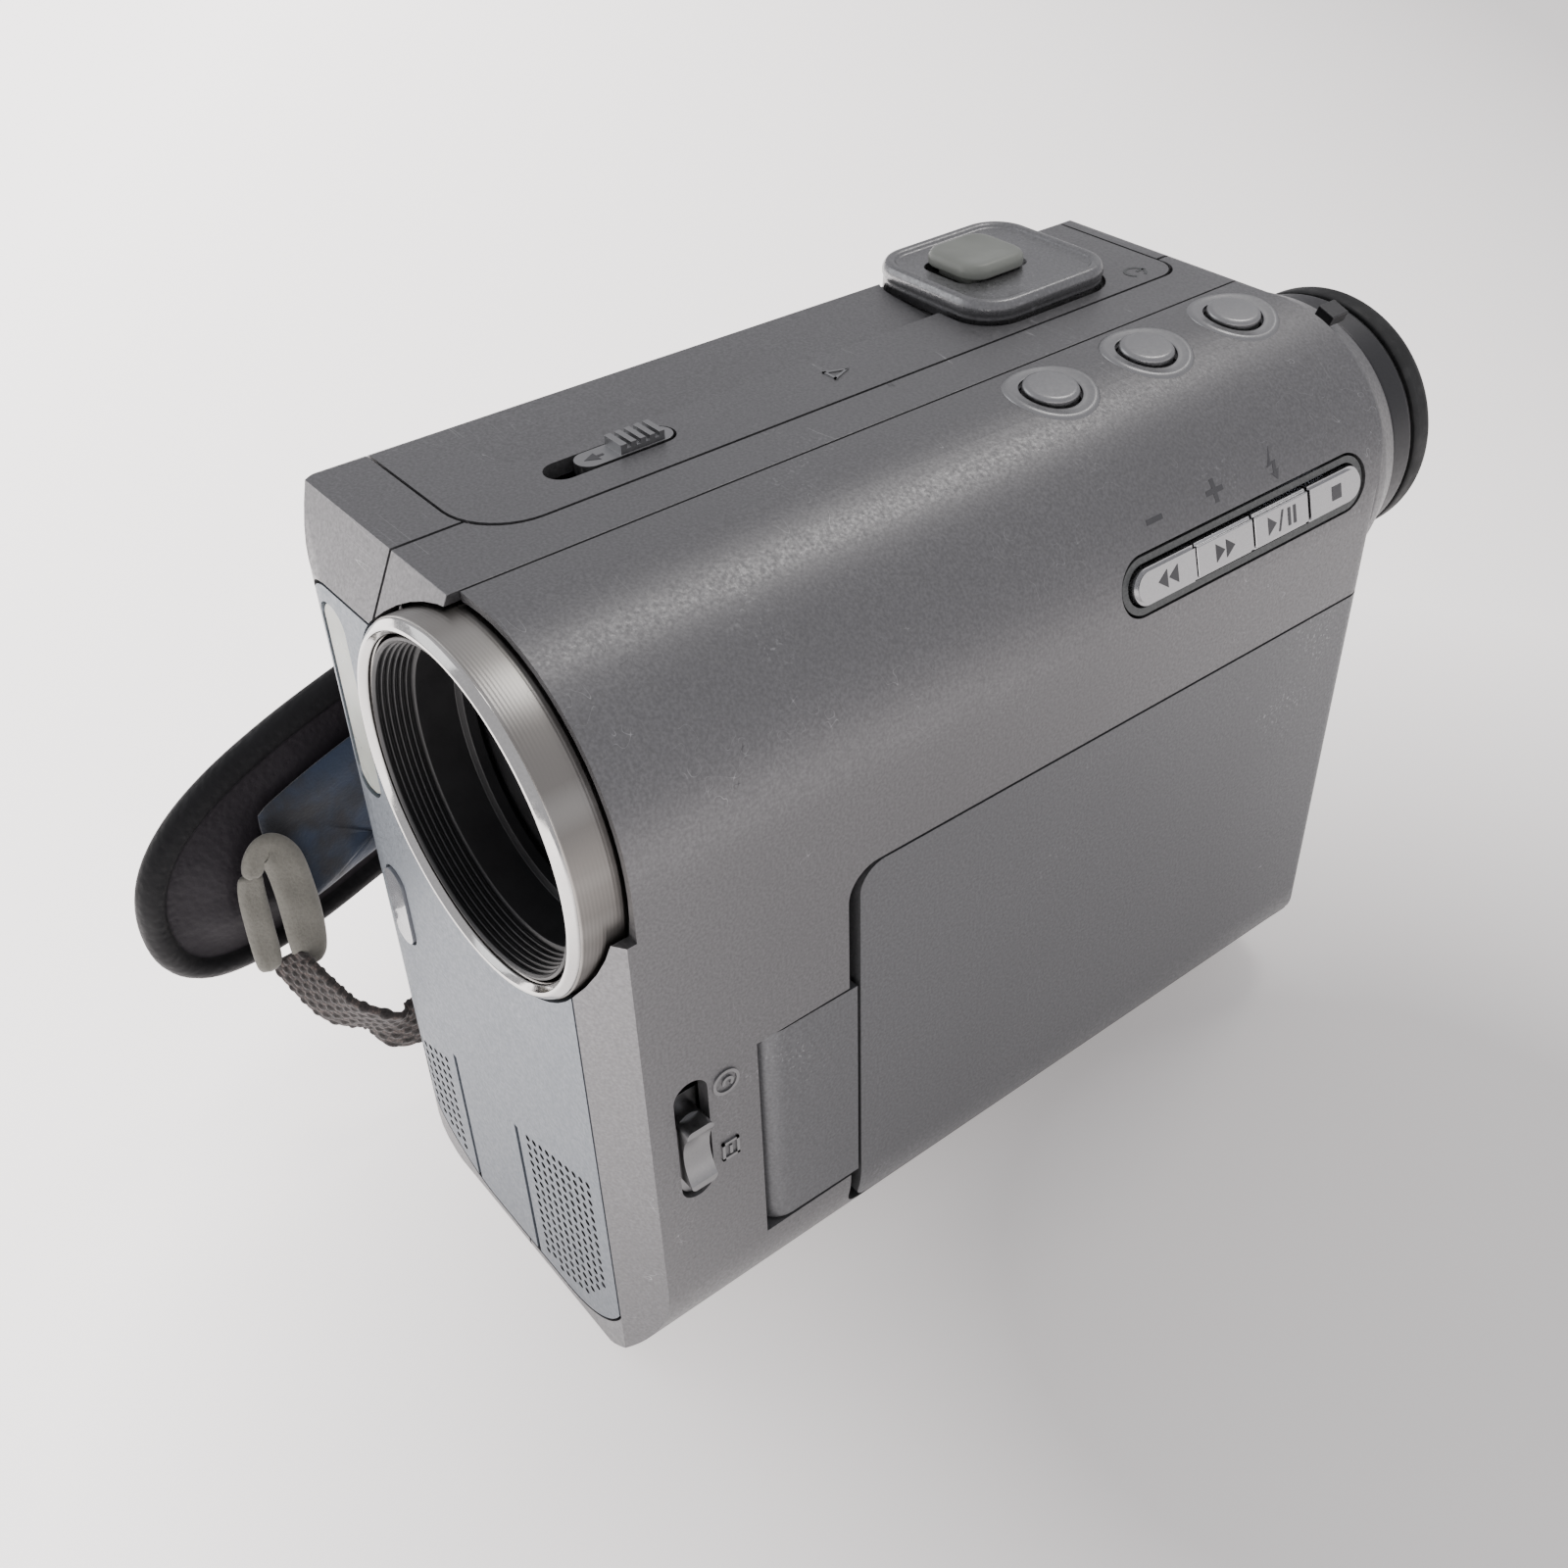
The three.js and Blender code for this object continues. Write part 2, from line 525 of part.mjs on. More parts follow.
function buildLcdMonitor() {
  const outline = rect(LCD.front, LCD.back, LCD.bottom, LCD.top, [LCD.r - 0.6, 1, 1, LCD.r - 0.6]);
  const slab = prism(outline, 'x', LCD.inner + 3.1, 30, 5).intersect(OUTER);
  const hollow = box(LCD.inner + 3, 22.4, LCD.front + 1.4, LCD.back - 1.4, LCD.bottom + 3, LCD.top - 1.4);
  const shaftHole = turnedY([[0, TILT.y0 - 1], [TILT.r + GAP, TILT.y0 - 1],
    [TILT.r + GAP, TILT.y1 + 1], [0, TILT.y1 + 1]], 19.6, TILT.z, 20);
  add('lcd_cover', slab.subtract(hollow).subtract(shaftHole), MATERIAL.panel);

  const screen = { y0: -12, y1: 39.5, z0: 14, z1: 52.6 };
  const bezel = prism(outline, 'x', LCD.inner, LCD.inner + 2.8, 5);
  const view = box(10, 20, screen.y0, screen.y1, screen.z0, screen.z1);
  add('lcd_bezel', bezel.subtract(view), MATERIAL.dark);
  add('lcd_screen', box(LCD.inner + 0.5, LCD.inner + 2.4, screen.y0 + GAP, screen.y1 - GAP,
    screen.z0 + GAP, screen.z1 - GAP), MATERIAL.glass);

  const plan = new THREE.Shape();
  plan.moveTo(HINGE.x + HINGE.r, HINGE.y);
  plan.lineTo(24, HINGE.back);
  plan.lineTo(HINGE.x - HINGE.r, HINGE.back);
  plan.lineTo(HINGE.x - HINGE.r, HINGE.y);
  plan.absarc(HINGE.x, HINGE.y, HINGE.r, Math.PI, 2 * Math.PI, false);
  const block = prism(plan, 'z', HINGE.bottom, HINGE.top, 8).subtract(shaftHole);
  add('hinge_block', block, MATERIAL.panel);
  add('lcd_tilt_shaft', turnedY([[0, TILT.y0], [TILT.r, TILT.y0], [TILT.r, TILT.y1], [0, TILT.y1]],
    19.6, TILT.z, 20), MATERIAL.steel);
}

// ---------------------------------------------------------------- cassette door and what it carries

function buildDoor() {
  const skin = SKIN.intersect(doorRegion(-HALF_GAP));
  const slot = prism(slotShape(EJECT_SLOT.x - EJECT_SLOT.width / 2, EJECT_SLOT.x + EJECT_SLOT.width / 2,
    EJECT_SLOT.y0, EJECT_SLOT.y1), 'z', 84, 88, 4);
  const seat = prism(rounded(ZOOM.x0 - GAP, ZOOM.x1 + GAP, ZOOM.y0 - GAP, ZOOM.y1 + GAP, 4.8), 'z',
    ZOOM.z0 - GAP, 90, 5);
  add('cassette_door', skin.subtract(slot).subtract(seat).subtract(fingerChannel()), MATERIAL.silver);
}

/** Finger groove along the top: flush at the grip side, deepest at its inner edge, with a round front end. */
function fingerChannel() {
  const { x, depth, r, front, back } = CHANNEL;
  const outside = BODY.left - 8;
  const rise = depth * (BODY.left - GRIP.flare / 2 - outside) / (x - BODY.left + GRIP.flare / 2);
  const ramp = new THREE.Shape();
  ramp.moveTo(outside, BODY.top + rise);
  ramp.lineTo(x, BODY.top - depth);
  ramp.lineTo(x, BODY.top + 3);
  ramp.lineTo(outside, BODY.top + 3);
  const area = prism(rounded(outside, x, front, back, r), 'z', BODY.top - 2, BODY.top + 4, 6);
  return prism(ramp, 'y', front - 1, back + 1).intersect(area);
}

function buildZoomControl() {
  const { x0, x1, y0, y1, z0, z1 } = ZOOM;
  const platform = prism(rounded(x0, x1, y0, y1, 4.5), 'z', z0, z1, 6);
  const top = prism(rounded(x0 + 1, x1 - 1, y0 + 1, y1 - 1, 3.7), 'z', z1 - 0.5, z1 + 1, 6);
  const track = prism(rounded(-20.9, -13.3, 23.7, 33.7, 1.5), 'z', z1 - 1.6, z1 + 1, 4);
  const ball = solid(new THREE.SphereGeometry(1, 32, 16));
  const bowl = ball.scale([7.2, 5, 3]).translate([-18.2, y0 - 1.4, 85.4]);
  add('zoom_platform', platform.subtract(top).subtract(track).subtract(bowl), MATERIAL.silver);

  const lever = prism(rounded(-21.6, -12.9, 24.4, 33.1, 2.4), 'z', z1 - 0.2, z1 + 1.2, 5);
  const foot = prism(rounded(-20.4, -13.8, 25.4, 32.1, 1.2), 'z', z1 - 1.3, z1, 4);
  add('zoom_lever', lever.add(foot), MATERIAL.knob);
}

function buildEjectSwitch() {
  const { x, width, y1 } = EJECT_SLOT;
  const half = width / 2 - GAP;
  const front = -27.7;
  const back = y1 - GAP;
  const stem = prism(rounded(x - half, x + half, front, back, half - 0.01), 'z', 84.6, 87.1, 4);
  const grip = box(x - half + 0.1, x + half - 0.1, -23.6, back - 1.6, 87, 88.1);
  let knob = stem.add(grip);
  const ribs = 5;
  for (let i = 0; i < ribs; i += 1) {
    const y = -22.9 + i * 1.05;
    knob = knob.subtract(box(x - 3, x + 3, y, y + 0.45, 87.6, 90));
  }
  add('eject_switch', knob, MATERIAL.bright);
}

// ---------------------------------------------------------------- hand strap

const STRAP_PATH = [
  [-26.6, 44], [-33, 33], [-40, 12], [-43.4, -12], [-44.6, -36], [-44.2, -56], [-42.6, -71.5]];

/** Upright band in plan that follows STRAP_PATH, moved sideways towards the body by `offset`. */
function strapBand(offset, thickness, from, to) {
  const curve = new THREE.SplineCurve(STRAP_PATH.map(([x, y]) => new THREE.Vector2(x, y)));
  const near = [];
  const far = [];
  const steps = 22;
  for (let i = 0; i <= steps; i += 1) {
    const t = from + (to - from) * i / steps;
    const point = curve.getPoint(t);
    const tangent = curve.getTangent(t);
    const inward = new THREE.Vector2(-tangent.y, tangent.x);
    near.push(point.clone().addScaledVector(inward, offset + thickness / 2));
    far.push(point.clone().addScaledVector(inward, offset - thickness / 2));
  }
  return prism(new THREE.Shape([...near, ...far.reverse()]), 'z', 0, 80, 1);
}

/** Side view of the pad: rounded tongue at the front, narrow at the rear lug. */
function padOutline(shrink) {
  const shape = new THREE.Shape();
  shape.moveTo(46, 42 + shrink);
  shape.bezierCurveTo(20, 34 + shrink, -10, 33 + shrink, -45, 22.4 + shrink);
  shape.bezierCurveTo(-60, 17.4 + shrink, -71.5 + shrink, 19, -71.5 + shrink, 31);
  shape.bezierCurveTo(-71.5 + shrink, 43, -60, 47.6 - shrink, -43, 52.6 - shrink);
  shape.bezierCurveTo(-15, 61 - shrink, 15, 62 - shrink, 46, 56 - shrink);
  return shape;
}

function buildStrap() {
  const pad = strapBand(0, 4.4, 0.02, 1).intersect(prism(padOutline(0), 'x', -60, -20, 8));
  add('strap_pad', pad, MATERIAL.leather);

  const liner = strapBand(3.4, 1.2, 0.05, 0.84).intersect(prism(padOutline(6), 'x', -60, -20, 8));
  add('strap_liner', liner, MATERIAL.navy);

  const loop = prism(rounded(-62.4, -52.6, 23.2, 40.6, 4), 'x', -39.6, -37.4, 5);
  add('strap_loop', loop, MATERIAL.beige);

  const webbing = ribbon([
    { at: [-37.6, -57.4, 20.1], side: [0.3, 0.4, 0.9], width: 5.5 },
    { at: [-33.6, -55.3, 16.8], side: [0.4, 0.2, 0.9], width: 7.5 },
    { at: [-30.4, -52.3, 15], side: [0.45, -0.2, 1], width: 7.5 },
    { at: [-28.9, -48.8, 12.8], side: [0.1, 0, 1], width: 7.5 },
    { at: [-28.5, -42.5, 15], side: [0, 0, 1], width: 7.5 },
    { at: [-27.8, -37.6, 17.4], side: [0, -0.2, 1], width: 7.5 },
  ], 1.7);
  add('strap_webbing', webbing, MATERIAL.brown);

  const frontPlate = prism(rounded(-36, -31.4, 14.6, 24.6, 1), 'x', -28.4, -26.1, 3);
  add('strap_lug_front', frontPlate, MATERIAL.dark);
  const rearPlate = prism(rounded(41.4, 46.8, 42.5, 55.5, 1), 'x', -25.1, -24.45, 3);
  const rearBar = prism(rounded(45.6, 46.8, 42.5, 55.5, 0.4), 'x', -28.8, -24.6, 3);
  add('strap_lug_rear', rearPlate.add(rearBar), MATERIAL.dark);
}

// ---------------------------------------------------------------- tape mechanism

function buildHolder() {
  const { x0, x1, y0, y1, z0, z1, wall } = CASSETTE;
  const outer = box(x0 - wall, x1 + wall, y0 - wall, y1 + wall, z0 - wall, z1);
  const slot = box(x0, x1, y0, y1, z0, z1 + 5);
  const openSide = box(x1 - 1, x1 + 2, y0 + 7, y1 - 7, z0, z1 + 5);
  add('cassette_holder', outer.subtract(slot).subtract(openSide), MATERIAL.steel);
}

const SPINDLES = { y: [-14.2, 16.1], z: 60 };

function buildDeck() {
  const plate = prism(rounded(-34, 36, 12, 84, 3), 'x', DECK_X, DECK_X + 0.6, 3);
  const hole = (y) => turnedX([[0, -9], [1.9, -9], [1.9, -5], [0, -5]], y, SPINDLES.z, 20);
  const drumHole = turnedX([[0, -9], [2.4, -9], [2.4, -5], [0, -5]], DRUM.y, DRUM.z, 20);
  add('deck_plate', SPINDLES.y.reduce((part, y) => part.subtract(hole(y)), plate).subtract(drumHole),
    MATERIAL.steel);

  add('head_drum', turnedX([
    [0, -20.4], [DRUM.r, -20.4], [DRUM.r, -14.6], [DRUM.r - 0.4, -14.4], [DRUM.r - 0.4, -14],
    [DRUM.r, -13.8], [DRUM.r, -8.6], [6, -8.4], [6, -7.4], [2, -7.4], [2, -5.6], [0, -5.6]],
  DRUM.y, DRUM.z, 28), MATERIAL.bright);
  ['supply_spindle', 'takeup_spindle'].forEach((name, i) => {
    const hub = turnedX([
      [0, -8.4], [2.6, -8.4], [3, -7.9], [5, -7.8], [5, -7.3], [1.5, -7.3], [1.5, -6.1], [0, -6.1]],
      SPINDLES.y[i], SPINDLES.z, 16);
    const { z } = SPINDLES;
    const tooth = box(-8.38, -7.85, SPINDLES.y[i] - 3.6, SPINDLES.y[i] + 3.6, z - 0.6, z + 0.6);
    add(name, hub.add(tooth), MATERIAL.black);
  });
}

// ---------------------------------------------------------------- buttons

function buildMenuButtons() {
  const { r, y } = MENU_BUTTONS;
  ['menu_button_front', 'menu_button_middle', 'menu_button_rear'].forEach((name, i) => {
    const cap = turnedZ([[0, 0.62], [r - 0.35, 0.5], [r - 0.05, 0.2], [r, 0], [r, -2.2],
      [3.6, -2.2], [3.6, -2.9], [0, -2.9]], 0, 0, 24);
    add(name, onCurve(cap, menuAngle, y[i]), MATERIAL.bright);
  });
}

function buildPlayRow() {
  const ring = prism(stadium(playLength + 0.3, 5.8), 'z', -2.5, -0.25, 6)
    .subtract(prism(stadium(playLength - 1.3, 4.4), 'z', -4, 1, 6));
  add('playback_liner', onCurve(ring, playAngle, playMiddle), MATERIAL.dark);

  const length = playLength - 1.9;
  const whole = prism(stadium(length, 3.8), 'z', -2.5, 0.25, 6)
    .add(prism(stadium(length - 0.6, 3.2), 'z', 0.2, 0.6, 6));
  const step = length / 4;
  ['rewind_button', 'forward_button', 'play_button', 'stop_button'].forEach((name, i) => {
    const low = -length / 2 + i * step + (i > 0 ? HALF_GAP : -1);
    const high = -length / 2 + (i + 1) * step - (i < 3 ? HALF_GAP : -1);
    const key = whole.intersect(box(-5, 5, low, high, -5, 5));
    add(name, onCurve(key, playAngle, playMiddle), MATERIAL.bright);
  });
}

function buildModeSlider() {
  const { y, width, z0 } = MODE_SLOT;
  const half = width / 2 - GAP;
  const low = z0 + GAP;
  const high = low + 10.8;
  const stem = prism(slotShape(y - half, y + half, low, high), 'x', 21.6, 23.4, 4);
  const flange = box(20.6, 21.7, y - 2.4, y + 2.4, low - 1, high + 1);
  const saddle = prism(rounded(y - half + 0.1, y + half - 0.1, low + 2.2, high - 0.4, 0.6), 'x', 23, 25.2, 3);
  const dip = turnedY([[0, -50], [6.2, -50], [6.2, -30], [0, -30]], 30.4, (low + high) / 2 + 0.9, 40);
  add('mode_slider', stem.add(flange).add(saddle.subtract(dip)), MATERIAL.bright);
}

// ---------------------------------------------------------------- viewfinder

const DIOPTER = { angle: 70, y: 54.6 };

function buildViewfinder() {
  const { x, z } = LENS;
  const { r, seat, neck, neckR, tubeR, cup, end } = FINDER;
  add('viewfinder_housing', turnedY([
    [13.4, seat], [r, seat], [r, 51.8], [17.1, 52.9], [16.2, 54.6], [15.3, 56.6], [neckR, neck], [13.4, neck],
    [13.4, seat]], x, z), MATERIAL.silver);
  add('viewfinder_tube', turnedY([
    [13, 49.6], [13, neck + 0.3], [tubeR, neck + 0.3], [tubeR, cup - 0.3], [8.6, cup - 0.3],
    [8.6, 60.4], [11.8, 59.2], [11.8, 49.6], [13, 49.6]], x, z), MATERIAL.ring);
  add('eyecup', turnedY([
    [8.8, cup], [14.3, cup], [14.55, 64.4], [14.3, 65.6], [13.2, end], [12, 66.1], [9.6, 64.2],
    [8.8, cup]], x, z), MATERIAL.rubber);
  add('eyepiece_lens', turnedY([
    [0, 60.4], [4, 60.6], [8.3, 61], [8.3, 61.9], [4, 62.3], [0, 62.5]], x, z, 24), MATERIAL.glass);
  const lever = box(17.3, 18.6, DIOPTER.y - 1.3, DIOPTER.y + 1.3, -1.1, 1.1);
  add('diopter_lever', lever.rotate([0, -DIOPTER.angle, 0]).translate([x, 0, z]), MATERIAL.dark);
}

// ---------------------------------------------------------------- rear controls, battery, base

function buildRearControls() {
  const { x, z } = DIAL;
  add('mode_dial', turnedY([[4.2, 51.3], [6.3, 51.3], [6.3, 53.2], [5.9, 53.7], [4.6, 53.7], [4.2, 53.3],
    [4.2, 51.3]], x, z, 28), MATERIAL.dark);
  add('start_stop_button', turnedY([[0, 48], [5, 48], [5, 48.9], [3.5, 48.9], [3.5, 53.2], [2.8, 53.9],
    [0, 54]], x, z, 20), MATERIAL.bright);
  const latch = prism(slotShape(-2.7, 4.1, 45.3, 47.7), 'y', 49.2, 51.9, 4);
  add('battery_latch', latch, MATERIAL.dark);
  const { x0, x1, y0, y1, z0, z1 } = BATTERY;
  add('battery_pack', prism(rounded(x0, x1, z0, z1, 1.8), 'y', y0, y1, 4), MATERIAL.dark);
}

function buildInternals() {
  add('main_board', prism(rounded(-33, 46, 14, 53, 2), 'x', 10.4, 11.6, 3), MATERIAL.board);
  add('tripod_bush', turnedZ([
    [2.6, 0], [6, 0], [6, 1.2], [4.6, 1.4], [4.6, 7], [0, 7], [0, 6], [2.6, 6], [2.6, 0]], 0, -22, 24),
  MATERIAL.brass);
}

buildCasings();
buildFrontPanel();
buildRearPanel();
buildLens();
buildBarrier();
buildLcdBay();
buildLcdMonitor();
buildDoor();
buildZoomControl();
buildEjectSwitch();
buildStrap();
buildHolder();
buildDeck();
buildMenuButtons();
buildPlayRow();
buildModeSlider();
buildViewfinder();
buildRearControls();
buildInternals();

export default camcorder;
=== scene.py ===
"""Looks of a compact tape camcorder: finishes, fine surfaces, hand strap, light and camera."""
import math

import bmesh
import bpy
import numpy as np
from mathutils import Matrix, Vector, noise


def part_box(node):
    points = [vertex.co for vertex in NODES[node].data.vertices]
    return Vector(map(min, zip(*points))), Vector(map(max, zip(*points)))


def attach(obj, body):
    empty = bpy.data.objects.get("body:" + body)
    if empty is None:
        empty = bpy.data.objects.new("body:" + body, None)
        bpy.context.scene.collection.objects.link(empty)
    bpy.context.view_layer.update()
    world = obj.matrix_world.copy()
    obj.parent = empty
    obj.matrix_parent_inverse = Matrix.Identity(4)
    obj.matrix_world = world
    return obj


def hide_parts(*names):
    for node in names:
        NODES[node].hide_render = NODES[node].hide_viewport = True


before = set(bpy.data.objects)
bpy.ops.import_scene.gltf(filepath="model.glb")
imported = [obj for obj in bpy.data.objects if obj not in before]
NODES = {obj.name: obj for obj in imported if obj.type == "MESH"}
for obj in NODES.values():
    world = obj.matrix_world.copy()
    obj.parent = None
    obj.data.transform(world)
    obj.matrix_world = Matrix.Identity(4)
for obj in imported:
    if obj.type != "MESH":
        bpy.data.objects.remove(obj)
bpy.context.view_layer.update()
MM = 0.001


# ---- places read from the frame

def low(node):
    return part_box(node)[0] / MM


def high(node):
    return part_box(node)[1] / MM


def middle(node):
    return (low(node) + high(node)) / 2


def half_width(node):
    return (high(node).x - low(node).x) / 2


LENS_X, LENS_Z = middle("lens_ring").xz
SIDE_X = high("lcd_side_shell").x
TOP_Z = high("grip_side_frame").z
CURVE_R = SIDE_X - LENS_X
LENS_AXIS = Matrix.Translation((LENS_X, 0, LENS_Z)) @ Matrix.Rotation(-math.pi / 2, 4, "X")


# ---- node patterns

SCRATCH_GRAIN = 1.4
SCRATCH_STRETCH = (0.03, 1, 1)
SCRATCH_WIDTH = 0.004
# Directions of the marks, in degrees.
SCRATCH_TURNS = ((20, 35, 10), (70, -25, 40), (-35, 60, 115))
NICK_TURNS = ((12, 80, 65), (50, 15, -30))


class Finish:
    """A Principled material and the patterns that it is made from. Sizes are millimetres."""

    def __init__(self, name, colour, rough, metal=0.0, **sockets):
        self.material = bpy.data.materials.new(name)
        self.material.use_nodes = True
        self.tree = self.material.node_tree
        self.shader = self.tree.nodes["Principled BSDF"]
        self.colour = (*colour, 1)
        sockets |= {"Base_Color": self.colour, "Roughness": rough, "Metallic": metal}
        for socket, value in sockets.items():
            self.shader.inputs[socket.replace("_", " ")].default_value = value
        self.place = self.node("ShaderNodeTexCoord").outputs["Object"]
        self.height = None

    def node(self, kind, **settings):
        node = self.tree.nodes.new(kind)
        for key, value in settings.items():
            setattr(node, key, value)
        return node

    def link(self, source, target):
        self.tree.links.new(source, target)

    def pattern(self, kind, output, values, place=None, **settings):
        """Output of a node that reads a place on the object, with its input values."""
        node = self.node(kind, **settings)
        for socket, value in values.items():
            node.inputs[socket].default_value = value
        self.link(place or self.place, node.inputs["Vector"])
        return node.outputs[output]

    def noise(self, size, detail=2.0, stretch=(1, 1, 1), turn=(0, 0, 0)):
        """Soft noise whose features are about `size` mm across."""
        turned = {"Scale": stretch, "Rotation": [math.radians(a) for a in turn]}
        place = self.pattern("ShaderNodeMapping", "Vector", turned)
        return self.pattern("ShaderNodeTexNoise", "Fac", {"Scale": 1 / (size * MM), "Detail": detail}, place)

    def cells(self, size, feature="F1"):
        """Distance to scattered points about `size` mm apart."""
        return self.pattern("ShaderNodeTexVoronoi", "Distance", {"Scale": 1 / (size * MM)}, feature=feature)

    def lines(self, pitch):
        """Fine parallel lines across the Y axis, `pitch` mm apart."""
        values = {"Scale": math.tau / (20 * pitch * MM), "Distortion": 0.0}
        return self.pattern("ShaderNodeTexWave", "Fac", values, wave_type="BANDS", bands_direction="Y")

    def distance(self, direction):
        """Distance along a direction from the object's origin, in metres."""
        return self.pattern("ShaderNodeVectorMath", "Value", {1: direction}, operation="DOT_PRODUCT")

    def radius(self, centre):
        """Distance from a point, in metres."""
        return self.pattern("ShaderNodeVectorMath", "Value", {1: centre}, operation="DISTANCE")

    def band(self, value, start, end, first=0.0, last=1.0):
        """Maps value from start..end to first..last, held flat outside."""
        remap = self.node("ShaderNodeMapRange")
        for socket, number in zip(("From Min", "From Max", "To Min", "To Max"), (start, end, first, last)):
            remap.inputs[socket].default_value = number
        self.link(value, remap.inputs["Value"])
        return remap.outputs["Result"]

    def maths(self, operation, a, b=0.0):
        node = self.node("ShaderNodeMath", operation=operation)
        for socket, value in zip(node.inputs, (a, b)):
            if isinstance(value, (int, float)):
                socket.default_value = value
            else:
                self.link(value, socket)
        return node.outputs[0]

    def scratches(self, turns, amount, patch=9.0):
        """Thin marks at a few angles, gathered in patches. 1 on a mark, 0 off it."""
        total = None
        for turn in turns:
            grain = self.noise(SCRATCH_GRAIN, 0.0, SCRATCH_STRETCH, turn)
            ridge = self.maths("ABSOLUTE", self.maths("SUBTRACT", grain, 0.5))
            line = self.band(ridge, 0.0, SCRATCH_WIDTH, 1.0, 0.0)
            where = self.band(self.noise(patch, 1.0, (1, 1, 1), turn), 1 - amount, 1.03 - amount)
            mark = self.maths("MULTIPLY", line, where)
            total = mark if total is None else self.maths("MAXIMUM", total, mark)
        return total

    def tint(self, amount, colour):
        """Mixes another colour over what the surface has so far."""
        mix = self.node("ShaderNodeMix", data_type="RGBA")
        source = self.shader.inputs["Base Color"]
        if source.is_linked:
            self.link(source.links[0].from_socket, mix.inputs["A"])
        else:
            mix.inputs["A"].default_value = source.default_value
        mix.inputs["B"].default_value = (*colour, 1)
        self.link(amount, mix.inputs["Factor"])
        self.link(mix.outputs["Result"], source)
        return self

    def shade(self, value, dark, light):
        """Varies the base colour's brightness with a pattern."""
        base = np.array(self.colour[:3])
        self.tint(self.band(value, 0.3, 0.5, 1.0, 0.0), tuple(base * dark))
        return self.tint(self.band(value, 0.5, 0.7), tuple(np.minimum(base * light, 1.0)))

    def polish(self, value, first, last):
        """Roughness from a 0..1 pattern."""
        self.link(self.band(value, 0.3, 0.7, first, last), self.shader.inputs["Roughness"])
        return self

    def relief(self, value, depth):
        """Adds a bump of `depth` mm."""
        bump = self.node("ShaderNodeBump")
        bump.inputs["Distance"].default_value = depth * MM
        bump.inputs["Strength"].default_value = 1.0
        self.link(value, bump.inputs["Height"])
        if self.height is not None:
            self.link(self.height, bump.inputs["Normal"])
        self.height = bump.outputs["Normal"]
        self.link(self.height, self.shader.inputs["Normal"])
        return self


# ---- finishes

def metallic_paint(name, colour, rough=0.4, metal=0.72, wear=0.36):
    """Satin silver paint: flake sparkle, soft clouding, handling scratches."""
    paint = Finish(name, colour, rough, metal)
    paint.shade(paint.noise(0.3, 1.0), 0.87, 1.15)
    cloud = paint.noise(26, 3.0)
    paint.tint(paint.band(cloud, 0.45, 0.75, 0.0, 0.3), tuple(0.86 * c for c in colour))
    rubbed = paint.band(paint.noise(17, 5.0), 0.6, 0.72, 0.0, 0.35)
    speck = paint.band(paint.noise(0.42, 1.0), 0.6, 0.7)
    paint.tint(paint.maths("MULTIPLY", rubbed, speck), (0.62, 0.62, 0.63))
    marks = paint.scratches(SCRATCH_TURNS, wear)
    paint.tint(paint.maths("MULTIPLY", marks, 0.55), (0.6, 0.6, 0.61))
    nicks = paint.scratches(NICK_TURNS, wear - 0.05, 5.0)
    paint.tint(paint.maths("MULTIPLY", nicks, 0.7), (0.06, 0.06, 0.062))
    paint.polish(paint.noise(0.4, 2.0), rough - 0.08, rough + 0.1)
    paint.relief(paint.noise(0.34, 2.0), 0.008)
    return paint.material


def turned_metal():
    """Lathe-turned ring: fine lines round it, broad bright and dull bands of painted reflection, a few dings.
    """
    metal = Finish("ring_metal", (0.56, 0.545, 0.52), 0.3, 1.0, Anisotropic=0.75)
    tangent = metal.node("ShaderNodeTangent", direction_type="RADIAL", axis="Y")
    metal.link(tangent.outputs["Tangent"], metal.shader.inputs["Tangent"])
    metal.relief(metal.lines(0.36), 0.005)
    # Painted reflection: broad bright and dull bands of colour, laid at random round the ring, stand in for
    # its reflections.
    painted_reflection_sectors = metal.noise(8, 1.0, (1, 0.02, 1))
    metal.tint(metal.band(painted_reflection_sectors, 0.42, 0.58, 0.0, 0.85), (0.24, 0.225, 0.21))
    metal.tint(metal.band(painted_reflection_sectors, 0.36, 0.42, 0.8, 0.0), (0.95, 0.93, 0.89))
    marks = metal.scratches(SCRATCH_TURNS[:2], 0.36, 6.0)
    metal.tint(metal.maths("MULTIPLY", marks, 0.6), (0.15, 0.145, 0.14))
    return metal.material


def polished_metal(name, colour, rough):
    metal = Finish(name, colour, rough, 1.0)
    metal.polish(metal.noise(0.5, 3.0), rough - 0.04, rough + 0.06)
    metal.shade(metal.noise(0.25, 2.0), 0.95, 1.04)
    return metal.material


def moulded(name, colour, rough, grain=0.35, depth=0.012, **sockets):
    """Moulded plastic with a fine spark-eroded grain."""
    plastic = Finish(name, colour, rough, **sockets)
    plastic.relief(plastic.noise(grain, 2.0), depth)
    plastic.polish(plastic.noise(3.5, 3.0), rough - 0.06, rough + 0.08)
    plastic.shade(plastic.noise(9, 2.0), 0.85, 1.12)
    return plastic.material


def rubber():
    """Dusty black rubber."""
    skin = Finish("eyecup_rubber", (0.012, 0.0125, 0.013), 0.62)
    skin.relief(skin.noise(0.5, 3.0), 0.02)
    dust = skin.band(skin.noise(2.2, 4.0), 0.55, 0.8, 0.0, 0.35)
    skin.tint(dust, (0.09, 0.09, 0.088))
    skin.polish(skin.noise(3, 3.0), 0.5, 0.75)
    return skin.material


